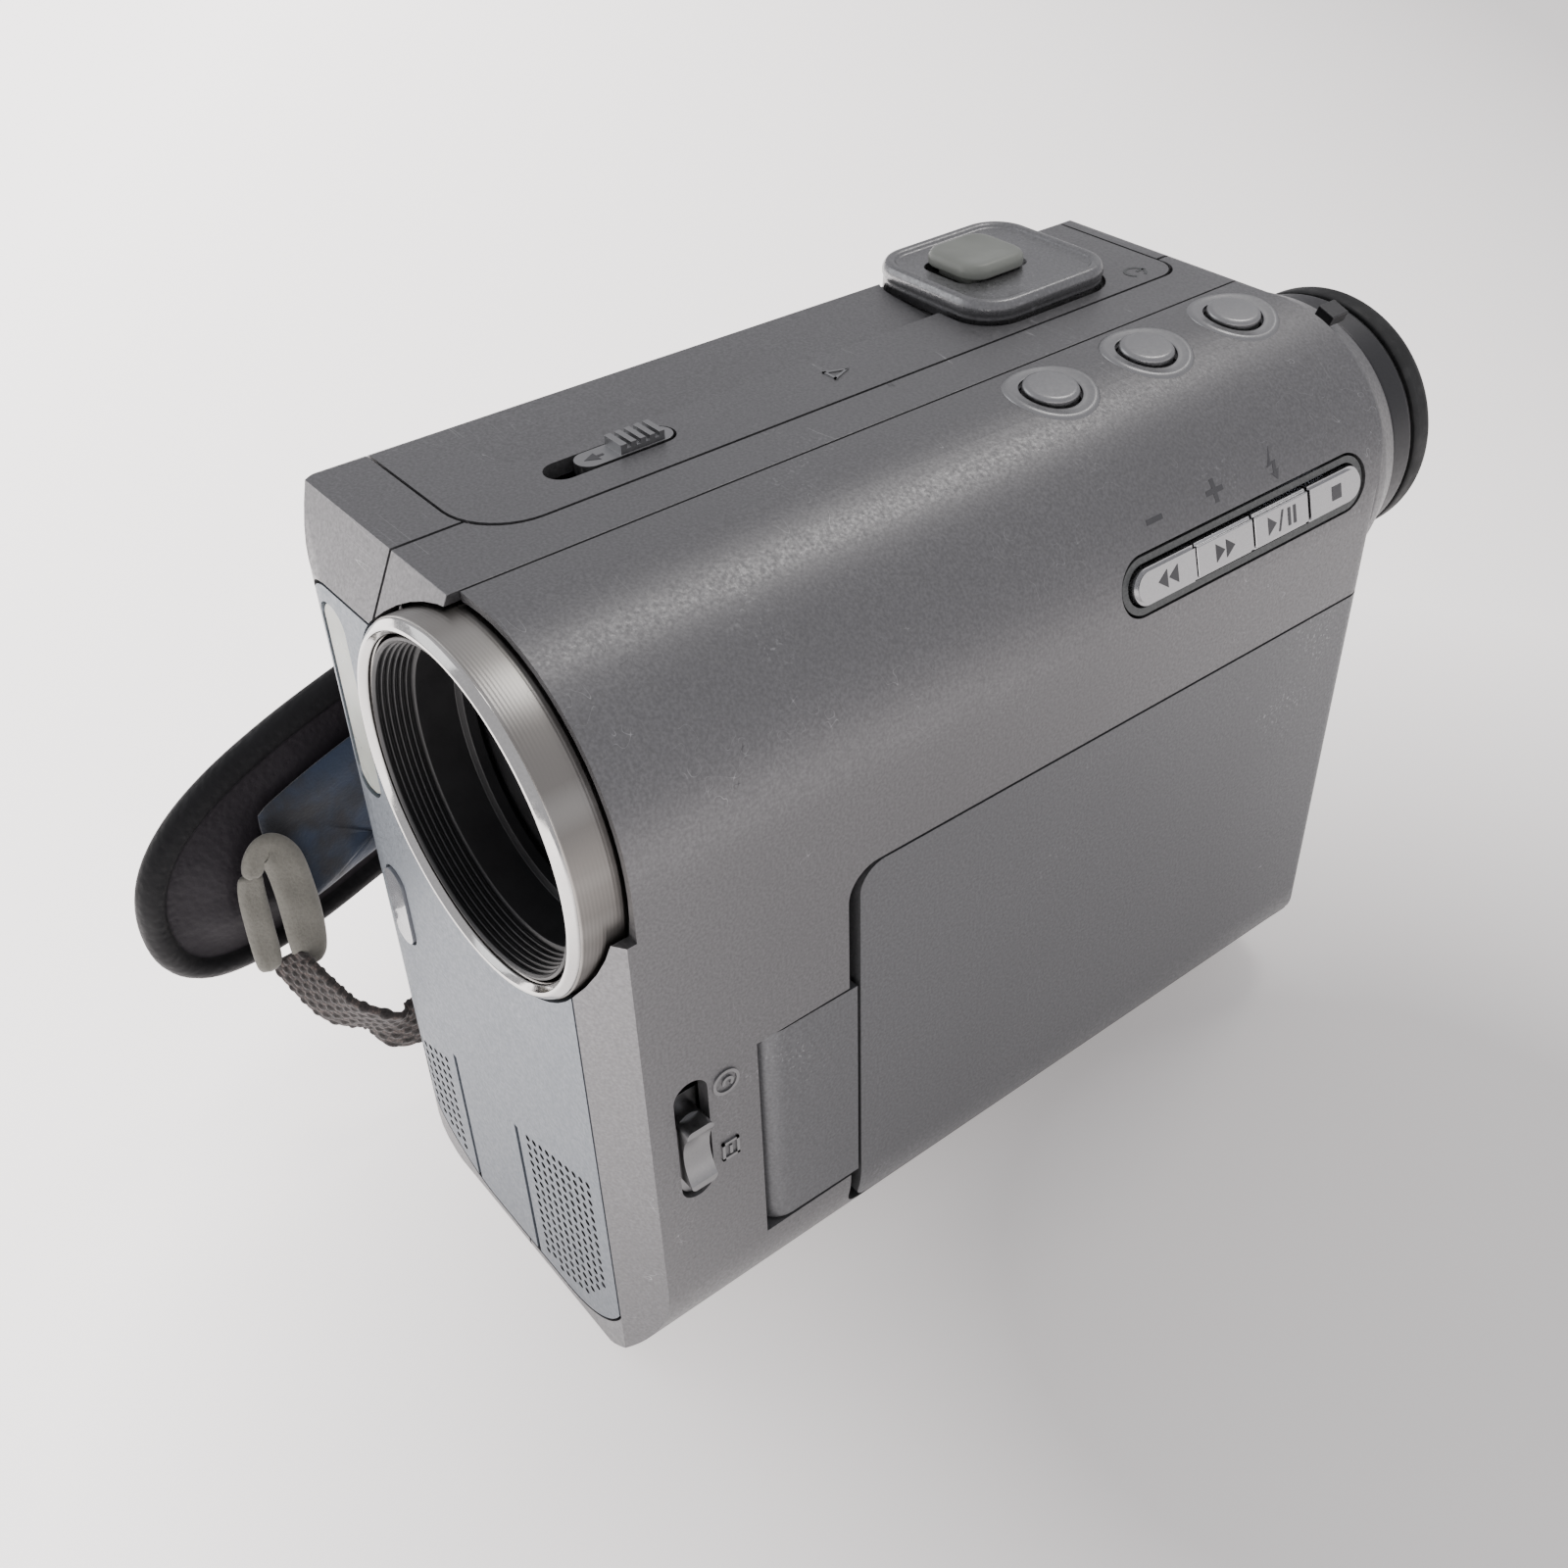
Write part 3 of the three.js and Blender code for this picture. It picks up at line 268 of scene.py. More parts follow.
def leather(name, colour):
    """Soft black strap leather: fine pebble grain, rubbed paler on the crowns."""
    hide = Finish(name, colour, 0.55, Specular_IOR_Level=0.2)
    hide.relief(hide.cells(0.75, "SMOOTH_F1"), 0.09)
    hide.relief(hide.noise(0.3, 2.0), 0.02)
    hide.polish(hide.noise(5, 3.0), 0.46, 0.66)
    hide.tint(hide.band(hide.noise(11, 3.0), 0.5, 0.75, 0.0, 0.4), tuple(1.6 * c for c in colour))
    return hide.material


def woven(name, colour, second, size, depth=0.12):
    """Cloth threads crossing at `size` mm, with a second thread colour."""
    cloth = Finish(name, colour, 0.9, Sheen_Weight=0.3)
    threads = cloth.cells(size)
    cloth.tint(cloth.band(threads, 0.25, 0.6), second)
    cloth.relief(threads, depth)
    cloth.relief(cloth.noise(0.25, 3.0), 0.05)
    return cloth.material


def lining():
    """Navy brushed cloth, darker and greyer in patches of painted shade."""
    cloth = Finish("strap_navy", (0.02, 0.036, 0.07), 0.85, Sheen_Weight=0.4)
    # Painted shade: the cloth keeps its navy only in patches, as where it catches the light, and is dark grey
    # in between.
    painted_shade_patches = cloth.noise(7, 4.0)
    cloth.tint(cloth.band(painted_shade_patches, 0.42, 0.6), (0.016, 0.018, 0.024))
    cloth.relief(cloth.noise(0.35, 3.0), 0.06)
    cloth.relief(cloth.noise(3.5, 2.0), 0.25)
    return cloth.material


def glass(name, colour):
    lens = Finish(name, colour, 0.03, Transmission_Weight=0.85, IOR=1.5, Coat_Weight=0.6)
    lens.relief(lens.noise(30, 1.0), 0.002)
    return lens.material


def screen():
    face = Finish("screen_glass", (0.012, 0.014, 0.017), 0.08, Coat_Weight=1.0)
    smear = face.noise(7, 4.0, (1, 0.5, 1))
    face.polish(smear, 0.05, 0.22)
    face.tint(face.band(smear, 0.6, 0.85, 0.0, 0.25), (0.05, 0.05, 0.055))
    return face.material


def circuit():
    board = Finish("circuit_board", (0.01, 0.07, 0.035), 0.4)
    board.tint(board.band(board.cells(2.4), 0.1, 0.22, 1.0, 0.0), (0.5, 0.42, 0.2))
    board.relief(board.cells(2.4), 0.1)
    return board.material


SILVER = metallic_paint("silver_paint", (0.2, 0.198, 0.203))
# The zoom platform wears a lighter, glossier copy of the silver paint; its lighter colour is a painted
# highlight.
PLATFORM = metallic_paint("platform_paint", (0.25, 0.25, 0.255), 0.33, 0.9, 0.3)
FRONT = metallic_paint("front_paint", (0.165, 0.186, 0.212), 0.42, 0.5, 0.2)
PANEL = metallic_paint("panel_paint", (0.165, 0.167, 0.174), 0.42, 0.65, 0.26)
LINER = metallic_paint("liner_paint", (0.11, 0.115, 0.115), 0.35, 0.5, 0.2)
RING_METAL = turned_metal()
RIM_METAL = polished_metal("rim_metal", (0.6, 0.59, 0.575), 0.12)
BRIGHT = polished_metal("bright_button", (0.35, 0.35, 0.355), 0.34)
SEAT_METAL = polished_metal("seat_metal", (0.33, 0.33, 0.335), 0.36)
KEY_METAL = polished_metal("key_metal", (0.56, 0.56, 0.57), 0.24)
SWITCH = polished_metal("switch_metal", (0.33, 0.33, 0.335), 0.34)
TUBE_METAL = polished_metal("tube_metal", (0.075, 0.075, 0.078), 0.4)
KNOB = moulded("zoom_knob", (0.25, 0.262, 0.235), 0.4)
BLACK = moulded("black_lens_parts", (0.012, 0.012, 0.013), 0.42, 0.4, 0.01)
DARK = moulded("dark_plastic", (0.03, 0.031, 0.033), 0.5)
BATTERY = moulded("battery_case", (0.05, 0.05, 0.055), 0.55)
RUBBER = rubber()
LENS_GLASS = glass("lens_glass", (0.55, 0.6, 0.72))
SCREEN = screen()
WINDOW = moulded("window_plastic", (0.5, 0.48, 0.41), 0.3, Subsurface_Weight=0.2)
SENSOR = moulded("sensor_window", (0.2, 0.21, 0.235), 0.12, 2.0, 0.004, Coat_Weight=1.0)
LEATHER = leather("strap_leather", (0.010, 0.0098, 0.011))
INNER = leather("strap_lining", (0.022, 0.019, 0.023))
THREAD = woven("strap_thread", (0.03, 0.03, 0.032), (0.06, 0.06, 0.06), 0.3, 0.05)
NAVY = lining()
BEIGE = woven("strap_beige", (0.155, 0.15, 0.128), (0.175, 0.17, 0.146), 0.5, 0.03)
BROWN = woven("strap_brown", (0.105, 0.08, 0.072), (0.05, 0.042, 0.04), 0.35, 0.06)
BROWN_DARK = woven("strap_brown_dark", (0.022, 0.02, 0.019), (0.04, 0.034, 0.032), 0.35, 0.06)
STEEL = polished_metal("deck_steel", (0.5, 0.51, 0.52), 0.32)
ALUMINIUM = polished_metal("drum_aluminium", (0.75, 0.75, 0.75), 0.18)
CIRCUIT = circuit()
BRASS = polished_metal("bush_brass", (0.6, 0.44, 0.2), 0.3)
INK = moulded("grey_ink", (0.07, 0.07, 0.075), 0.5)


# ---- CAD nodes that keep their shape

# Material, width of the rounded edges in millimetres (0 for none), and the nodes.
CAD_LOOKS = [
    (SILVER, 0.5, "lcd_side_shell grip_side_frame"),
    (SILVER, 0.35, "top_strip cassette_door rear_panel"),
    (PANEL, 0.35, "lcd_cover"),
    (PANEL, 0.25, "hinge_block"),
    (KEY_METAL, 0.25, "rewind_button forward_button play_button stop_button"),
    (BRIGHT, 0.25, "start_stop_button"),
    (SWITCH, 0.25, "eject_switch mode_slider"),
    (BATTERY, 0.25, "battery_pack"),
    (DARK, 0.25, "base_cover lcd_bay lcd_bezel battery_latch strap_lug_front strap_lug_rear"),
    (DARK, 0.12, "mode_dial microphone"),
    (DARK, 0, "supply_spindle takeup_spindle"),
    (LINER, 0.12, "playback_liner"),
    (TUBE_METAL, 0.12, "diopter_lever"),
    (BLACK, 0.12, "lens_mask barrier_upper barrier_lower lens_barrel"),
    (WINDOW, 0.12, "light_window"),
    (SENSOR, 0, "remote_window"),
    (LENS_GLASS, 0, "eyepiece_lens"),
    (SCREEN, 0, "lcd_screen"),
    (STEEL, 0.12, "cassette_holder"),
    (STEEL, 0, "deck_plate lcd_tilt_shaft"),
    (ALUMINIUM, 0, "head_drum"),
    (CIRCUIT, 0, "main_board image_sensor"),
    (BRASS, 0.12, "tripod_bush"),
]
BEVEL_STEPS = 2
BEVEL_ANGLE = math.radians(28)
FLAT_ANGLE = math.radians(0.3)
WELD_DISTANCE = 0.002
SHARP_ANGLE = math.radians(32)


def paint_object(piece, material):
    piece.data.materials.clear()
    piece.data.materials.append(material)


def smooth(mesh):
    """Smooth shading from the faces themselves, without the imported flat normals."""
    if "custom_normal" in mesh.attributes:
        mesh.attributes.remove(mesh.attributes["custom_normal"])
    mesh.polygons.foreach_set("use_smooth", [True] * len(mesh.polygons))


def soften(piece, width):
    """Joins the triangles into clean faces and rounds the sharp edges."""
    weld = piece.modifiers.new("weld", "WELD")
    weld.merge_threshold = WELD_DISTANCE * MM
    flat = piece.modifiers.new("flat", "DECIMATE")
    flat.decimate_type = "DISSOLVE"
    flat.angle_limit = FLAT_ANGLE
    bevel = piece.modifiers.new("bevel", "BEVEL")
    bevel.width = width * MM
    bevel.segments = BEVEL_STEPS
    bevel.limit_method = "ANGLE"
    bevel.angle_limit = BEVEL_ANGLE
    bevel.harden_normals = True
    bevel.use_clamp_overlap = True


def keep_flats(piece):
    """Large faces keep their own shading; only the small rounding faces bend the light."""
    flats = piece.modifiers.new("flats", "WEIGHTED_NORMAL")
    flats.mode = "FACE_AREA_WITH_ANGLE"
    flats.weight = 100


def finish_cad_nodes():
    for material, edge, names in CAD_LOOKS:
        for name in names.split():
            paint_object(NODES[name], material)
            smooth(NODES[name].data)
            if edge:
                soften(NODES[name], edge)


# ---- mesh helpers

def add_object(name, data):
    thing = bpy.data.objects.new(name, data)
    bpy.context.scene.collection.objects.link(thing)
    return thing


def mesh_from(name, verts, faces):
    """A mesh from points in millimetres."""
    mesh = bpy.data.meshes.new(name)
    mesh.from_pydata([tuple(float(c) * MM for c in v) for v in verts], [], faces)
    return mesh


def bridge(first, second, count):
    """Quads between two rings of points, which start at the indices first and second."""
    return [(first + k, first + (k + 1) % count, second + (k + 1) % count, second + k) for k in range(count)]


def caps(first, last, count):
    """End faces on the first and the last ring."""
    return [tuple(first + k for k in reversed(range(count))), tuple(last + k for k in range(count))]


def new_piece(name, verts, faces, material, body, smooth_faces=True, second=None, kinds=()):
    """A piece on a body, from points in millimetres. Faces of kind 1 take the second material."""
    mesh = mesh_from(name, verts, faces)
    mesh.materials.append(material)
    if second:
        mesh.materials.append(second)
        mesh.polygons.foreach_set("material_index", kinds)
    tidy = bmesh.new()
    tidy.from_mesh(mesh)
    bmesh.ops.remove_doubles(tidy, verts=tidy.verts, dist=0.001 * MM)
    bmesh.ops.recalc_face_normals(tidy, faces=tidy.faces)
    tidy.to_mesh(mesh)
    tidy.free()
    mesh.polygons.foreach_set("use_smooth", [smooth_faces] * len(mesh.polygons))
    piece = add_object(name, mesh)
    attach(piece, body)
    return piece


def polar(r, angle, x=0.0, y=0.0):
    return x + r * math.cos(angle), y + r * math.sin(angle)


def rounded_corners(points, radius, steps=4):
    """A polyline with its inner corners rounded."""
    path = [np.array(p, float) for p in points]
    out = [path[0]]
    for before, corner, after in zip(path, path[1:], path[2:]):
        back, ahead = before - corner, after - corner
        cut = min(radius, 0.45 * np.linalg.norm(back), 0.45 * np.linalg.norm(ahead))
        start = corner + cut * back / np.linalg.norm(back)
        end = corner + cut * ahead / np.linalg.norm(ahead)
        for i in range(steps + 1):
            t = i / steps
            out.append((1 - t) ** 2 * start + 2 * t * (1 - t) * corner + t * t * end)
    return out + [path[-1]]


def lathe(name, profile, place, material, body, steps, edge):
    """Turned piece from (radius, height) points; place maps its local Z axis into the frame."""
    points = rounded_corners(profile, edge)
    verts = []
    for i in range(steps):
        angle = math.tau * i / steps
        for r, h in points:
            verts.append(place @ Vector((*polar(r, angle), h)))
    count = len(points)
    faces = []
    for i in range(steps):
        j = (i + 1) % steps
        for k in range(count - 1):
            faces.append((i * count + k, j * count + k, j * count + k + 1, i * count + k + 1))
    piece = new_piece(name, verts, faces, material, body)
    keep_flats(piece)
    return piece


def turned(name, profile, material, slot, steps, edge):
    """Piece of the casing turned about the lens axis, from (radius, Y) points."""
    return lathe(name, profile, LENS_AXIS, material, "root", steps, edge)


def on_curve(angle, y, lift=0.0):
    """Local Z points out of the big curve, local X runs down it and local Y runs to the rear."""
    x, z = polar(CURVE_R + lift, angle, LENS_X, LENS_Z)
    return Matrix.Translation((x, y, z)) @ Matrix.Rotation(math.pi / 2 - angle, 4, "Y")


def sag_on_curve(across):
    """How far the casing's curve drops at a distance from where it touches a flat plane."""
    return CURVE_R - math.sqrt(CURVE_R * CURVE_R - across * across)


def on_side(y, z):
    """Local Z points out of the LCD side, local X runs down and local Y runs to the rear."""
    return Matrix.Translation((SIDE_X, y, z)) @ Matrix.Rotation(math.pi / 2, 4, "Y")


def on_top(x, y, lift=0.0):
    return Matrix.Translation((x, y, TOP_Z + lift))


def relief_plate(name, outlines, depth, place, material, body, curved=False):
    """Thin raised shapes from flat outlines, bent with the casing if curved."""
    verts, faces = [], []
    for outline in outlines:
        start = len(verts)
        count = len(outline)
        for level in (-depth, depth):
            for x, y in outline:
                sag = sag_on_curve(x) if curved else 0.0
                verts.append(place @ Vector((x, y, level - sag)))
        faces += caps(start, start + count, count) + bridge(start, start + count, count)
    return new_piece(name, verts, faces, material, body, False)


def circle(radius, x, y, steps):
    return [polar(radius, math.tau * i / steps, x, y) for i in range(steps)]


def bar(x0, x1, y0, y1):
    return [(x0, y0), (x1, y0), (x1, y1), (x0, y1)]


# ---- lens

def build_ring():
    """Turned ring with a polished rim on its front edge."""
    front = low("lens_ring").y
    back = high("lens_ring").y
    outer = half_width("lens_ring")
    bore = outer - 1.6
    body = turned("ring_body", [(outer, back), (outer, front + 0.95), (outer - 0.12, front + 0.8),
                                (bore + 0.35, front + 0.8), (bore, front + 1.1), (bore, back), (outer, back)],
                  RING_METAL, "ring_metal", 256, 0.1)
    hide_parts("lens_ring")
    turned("ring_rim", [(outer - 0.12, front + 0.95), (outer - 0.12, front + 0.62),
                        (outer - 0.75, front + 0.02), (bore + 0.55, front + 0.02), (bore + 0.05, front + 0.6),
                        (bore + 0.05, front + 0.95), (outer - 0.12, front + 0.95)],
           RIM_METAL, "ring_metal", 256, 0.16)


RIDGES = 6
RIDGE_PITCH = 0.55


def build_sleeve():
    """Black sleeve: six coarse steps, then a smooth cone down to the mask."""
    outer = half_width("lens_sleeve")
    front = low("lens_sleeve").y
    back = high("lens_sleeve").y
    profile = [(outer, back), (outer, front + 0.1), (outer - 0.25, front)]
    for i in range(RIDGES):
        crest = outer - 0.5 - 0.13 * i
        at = front + 0.25 + RIDGE_PITCH * i
        profile += [(crest, at), (crest, at + 0.22), (crest + 0.32, at + 0.3), (crest + 0.32, at + 0.44)]
    profile += [(outer - 1.45, front + 3.7), (outer - 1.6, front + 7.6), (outer - 2.4, front + 7.9),
                (outer - 2.4, back - 1.9), (outer - 1.2, back - 1.8), (outer - 1.2, back), (outer, back)]
    sleeve = turned("threaded_sleeve", profile, BLACK, "black_lens_parts", 192, 0.06)
    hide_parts("lens_sleeve")


def build_lens_glass():
    """Front lens with a domed face."""
    front = low("front_lens").y
    r = half_width("front_lens")
    rise = 2.2
    radius = (r * r + rise * rise) / (2 * rise)
    dome = [(radius * math.sin(a), front + radius * (1 - math.cos(a)))
            for a in np.linspace(0, math.asin(r / radius), 12)]
    back = high("front_lens").y
    lens = turned("front_element", dome + [(r, back), (0, back)], LENS_GLASS, "lens_glass", 96, 0.05)
    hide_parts("front_lens")


# ---- viewfinder

def build_viewfinder():
    """Stepped housing, its tube and the dished rubber cup."""
    seat = low("viewfinder_housing").y
    neck = high("viewfinder_housing").y
    r = half_width("viewfinder_housing")
    tube_r = half_width("viewfinder_tube")
    neck_r = tube_r + 0.3
    bore = 13.4
    housing = turned("finder_housing", [(bore, seat), (r - 0.5, seat), (r, seat + 0.7), (r - 0.3, seat + 2.4),
                                        (neck_r + 0.9, neck - 1), (neck_r, neck), (bore, neck), (bore, seat)],
                     SILVER, "silver_paint", 160, 0.4)
    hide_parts("viewfinder_housing")

    start = low("viewfinder_tube").y
    cup_front = low("eyecup").y
    tube = turned("finder_tube", [(12, start), (13, start), (13, neck + 0.3), (tube_r - 0.4, neck + 0.3),
                                  (tube_r, neck + 0.7), (tube_r, cup_front - 1.1),
                                  (tube_r - 0.4, cup_front - 0.3), (12, cup_front - 0.3), (12, start)],
                  TUBE_METAL, "tube_metal", 160, 0.2)
    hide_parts("viewfinder_tube")

    end = high("eyecup").y
    cup = turned("soft_eyecup", [(8.8, cup_front), (tube_r - 0.1, cup_front), (tube_r, cup_front + 0.5),
                                 (tube_r - 0.05, end - 1.2), (tube_r - 0.9, end), (tube_r - 2.3, end),
                                 (10.2, cup_front + 1.2), (8.8, cup_front + 0.8), (8.8, cup_front)],
                 RUBBER, "eyecup_rubber", 160, 0.5)
    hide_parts("eyecup")


# ---- buttons

MENU_X = 7.2
KEY_Z = 72.9
MENU_ANGLE = math.pi / 2 - math.asin((MENU_X - LENS_X) / CURVE_R)
PLAY_ANGLE = math.asin((KEY_Z - LENS_Z) / CURVE_R)
PRINT_ANGLE = math.radians(32.3)
KEY_HEIGHT = 0.6
ARROW_HALF = 0.95
SEAT = [(3.15, -0.25), (3.15, 0.0), (3.6, 0.05), (4.0, 0.15), (4.35, 0.26), (4.65, 0.2), (4.85, 0.04),
        (4.9, -0.12), (4.7, -0.25)]


def build_menu_buttons():
    """Flat caps with a soft edge, each in its dished seat."""
    r = 2.85
    profile = [(0, 0.6), (r - 0.4, 0.56), (r - 0.02, 0.3), (r, -2.2), (3.6, -2.2), (3.6, -2.9), (0, -2.9)]
    for name in ("front", "middle", "rear"):
        node = "menu_button_" + name
        cap = lathe(node + "_cap", profile, on_curve(MENU_ANGLE, middle(node).y), BRIGHT, "menu_" + name,
                    72, 0.22)
        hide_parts(node)
        build_seat(node + "_seat", middle(node).y)


def build_seat(name, station):
    """Dished rim round a button that follows the curve of the casing."""
    place = on_curve(MENU_ANGLE, station)
    profile = rounded_corners(SEAT, 0.12, 3)
    steps = 96
    verts, faces = [], []
    for i, (r, lift) in enumerate(profile):
        for k in range(steps):
            x, y = polar(r, math.tau * k / steps)
            verts.append(place @ Vector((x, y, lift - sag_on_curve(x))))
        faces += bridge(i * steps, (i + 1) % len(profile) * steps, steps)
    new_piece(name, verts, faces, SEAT_METAL, "root")


def arrow(y, way):
    """Triangle that points to the rear (way 1) or the front (way -1)."""
    points = [(-ARROW_HALF, y), (ARROW_HALF, y), (0, y + way * 1.35 * ARROW_HALF)]
    return points if way < 0 else points[::-1]


def build_key_symbols():
    """Transport symbols printed on the four keys."""
    stroke = [(1.05, -0.65), (1.05, -0.39), (-1.05, 0.21), (-1.05, -0.05)]
    shapes = {
        "rewind_button": ("rewind", [arrow(0.1, -1), arrow(1.6, -1)]),
        "forward_button": ("forward", [arrow(-1.5, 1), arrow(0.0, 1)]),
        "play_button": ("play", [arrow(-2.2, 1), stroke, bar(-0.95, 0.95, 0.85, 1.25),
                                 bar(-0.95, 0.95, 1.7, 2.1)]),
        "stop_button": ("stop", [bar(-0.75, 0.75, -0.75, 0.75)]),
    }
    for node, (body, outlines) in shapes.items():
        place = on_curve(PLAY_ANGLE, middle(node).y, KEY_HEIGHT)
        relief_plate(body + "_symbol", outlines, 0.04, place, INK, body)


def build_printed_symbols():
    """Minus, plus and flash marks printed above the keys."""
    thin = 0.27
    flash = [(-1.7, 0.35), (0.25, -0.75), (0.1, 0.1), (1.0, -0.1), (0.9, -0.55), (1.8, 0.35), (0.7, 0.8),
             (0.78, 0.38), (-0.2, 0.65), (-0.1, -0.15)]
    marks = {
        "minus_mark": ("rewind_button", [bar(-thin, thin, -1.1, 1.1)]),
        "plus_mark": ("forward_button", [bar(-thin, thin, -1.2, 1.2), bar(-1.2, -thin, -thin, thin),
                                         bar(thin, 1.2, -thin, thin)]),
        "flash_mark": ("play_button", [flash]),
    }
    for name, (node, outlines) in marks.items():
        place = on_curve(PRINT_ANGLE, middle(node).y + 0.6)
        relief_plate(name, outlines, 0.03, place, INK, "root", True)


def ring_outline(radius, width, x=0.0, y=0.0, start=0.0, end=math.tau, steps=28):
    """Arc-shaped band as quads, one after another."""
    angles = np.linspace(start, end, steps + 1)
    inner, outer = radius - width / 2, radius + width / 2
    return [[polar(inner, a, x, y), polar(outer, a, x, y), polar(outer, b, x, y), polar(inner, b, x, y)]
            for a, b in zip(angles, angles[1:])]


def frame_outline(half_x, half_y, width):
    """Rectangle drawn as four bars."""
    return [bar(-half_x, half_x, -half_y, -half_y + width), bar(-half_x, half_x, half_y - width, half_y),
            bar(-half_x, -half_x + width, -half_y, half_y), bar(half_x - width, half_x, -half_y, half_y)]


ICON_OFFSET = 3.9
ICON_SPACING = 9.4


def build_mode_icons():
    """Two raised pictograms beside the mode slider: a tape reel and a memory card."""
    y = middle("mode_slider").y + ICON_OFFSET
    top = high("mode_slider").z + 1.2
    reel = ring_outline(1.35, 0.34) + ring_outline(0.5, 0.34, 0.1, 0.2, 0.6, 5.2, 12)
    relief_plate("reel_icon", reel, 0.2, on_side(y, top), SWITCH, "root")
    card = frame_outline(1.2, 1.0, 0.32) + [bar(-0.5, 0.6, -0.16, 0.16)]
    relief_plate("card_icon", card, 0.2, on_side(y, top - ICON_SPACING), SWITCH, "root")


EJECT_MARK_PLACE = (-9.2, 2.6)
DOOR_MARK_PLACE = (-7.1, 43.3)


def build_top_marks():
    """Raised triangle behind the open switch, the switch's arrow, and a ring with a stroke at the rear."""
    triangle = [bar(-1.1, 1.1, -1.2, -0.9), [(-1.1, -1.2), (-0.75, -1.2), (0.1, 1.0), (0.0, 1.4)],
                [(0.75, -1.2), (1.1, -1.2), (0.0, 1.4), (-0.1, 1.0)]]
    relief_plate("eject_mark", triangle, 0.12, on_top(*EJECT_MARK_PLACE), SWITCH, "door")
    pointer = [[(0.0, -1.1), (0.75, 0.3), (-0.75, 0.3)], bar(-0.16, 0.16, 0.3, 1.0)]
    place = on_top(middle("eject_switch").x, low("eject_switch").y + 2.0, 0.1)
    relief_plate("switch_arrow", pointer, 0.03, place, INK, "eject")
    shapes = ring_outline(1.15, 0.34, 0, 0, 0.4, 5.6, 20) + [bar(-0.15, 0.15, 0.2, 1.5)]
    relief_plate("door_mark", shapes, 0.04, on_top(*DOOR_MARK_PLACE), LINER, "door")


# ---- zoom control

def rounded_rect(x0, x1, y0, y1, r, inset=0.0, steps=10):
    """Closed outline of a rounded rectangle, moved in by inset."""
    r = max(r - inset, 0.2)
    x0, x1, y0, y1 = x0 + inset, x1 - inset, y0 + inset, y1 - inset
    points = []
    corners = ((x1 - r, y1 - r, 0), (x0 + r, y1 - r, 90), (x0 + r, y0 + r, 180), (x1 - r, y0 + r, 270))
    for cx, cy, start in corners:
        for i in range(steps + 1):
            points.append(polar(r, math.radians(start + 90 * i / steps), cx, cy))
    return points


def stacked_rings(name, rings, material, body):
    """Closed solid through outlines of equal count; the first and last are capped."""
    count = len(rings[0])
    verts = [point for ring in rings for point in ring]
    faces = caps(0, (len(rings) - 1) * count, count)
    for i in range(len(rings) - 1):
        faces += bridge(i * count, (i + 1) * count, count)
    return new_piece(name, verts, faces, material, body)


def rounded_block(name, a, b, r, levels, material, body):
    """Rounded-rectangle solid between two corners, from (inset, height) levels."""
    rings = [[(x, y, z) for x, y in rounded_rect(a.x, b.x, a.y, b.y, r, inset)]
             for inset, z in rounded_corners(levels, 0.35, 3)]
    return stacked_rings(name, rings, material, body)


def subtract(piece, verts, faces):
    """Cuts a solid, given by its points and faces, out of a piece for good."""
    cutter = add_object("cutter", mesh_from("cutter", verts, faces))
    piece.modifiers.clear()
    cut = piece.modifiers.new("cut", "BOOLEAN")
    cut.operation = "DIFFERENCE"
    cut.solver = "MANIFOLD"
    cut.object = cutter
    apply_modifiers(piece)
    bpy.data.objects.remove(cutter)


def apply_modifiers(piece):
    view = bpy.context.evaluated_depsgraph_get()
    mesh = bpy.data.meshes.new_from_object(piece.evaluated_get(view))
    piece.modifiers.clear()
    piece.data = mesh
    mesh.set_sharp_from_angle(angle=SHARP_ANGLE)
    keep_flats(piece)


WELL_MARGIN = 0.6
ZOOM_TRAVEL = 0.7


def build_zoom_control():
    """Raised platform with a rounded rim and a well for the rocking pad."""
    a, b = low("zoom_platform"), high("zoom_platform")
    top = b.z
    levels = [(0.05, a.z), (0.15, top - 1.7), (0.0, top - 1.3), (0.0, top - 0.75), (0.4, top - 0.1),
              (0.9, top), (1.3, top - 0.1), (1.6, top - 0.45), (2.4, top - 0.52), (3.2, top - 0.55)]
    platform = rounded_block("zoom_base", a, b, 4.6, levels, PLATFORM, "door")
    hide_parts("zoom_platform")

    c, d = low("zoom_lever"), high("zoom_lever")
    outline = rounded_rect(c.x + WELL_MARGIN, d.x - WELL_MARGIN, c.y - ZOOM_TRAVEL, d.y + ZOOM_TRAVEL, 1.6)
    count = len(outline)
    well = [(x, y, z) for z in (top - 1.6, top + 1.0) for x, y in outline]
    subtract(platform, well, caps(0, count, count) + bridge(0, count, count))

    levels = [(1.2, top - 1.5), (1.2, top - 0.5), (0.0, top - 0.42), (0.0, d.z - 0.65), (0.35, d.z - 0.12),
              (0.9, d.z), (2.2, d.z - 0.08), (3.2, d.z - 0.14)]
    pad = rounded_block("zoom_pad", c, d, 2.4, levels, KNOB, "zoom")
    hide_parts("zoom_lever")


# ---- front panel with its microphone holes

GRILLE_PITCH = 1.33
GRILLE_ROWS = 16
HOLE_R = 0.4
HOLE_SIDES = 10
# Left edge, right edge, and height of the top row at the left.
GRILLE_FIELDS = ((4.5, 17.0, 24.4), (-21.2, -12.4, 18.6))
GRILLE_SLOPE = 0.34
PANEL_CORNER_R = 11.6
PANEL_CORNER_X = (-9.2, 6.0)


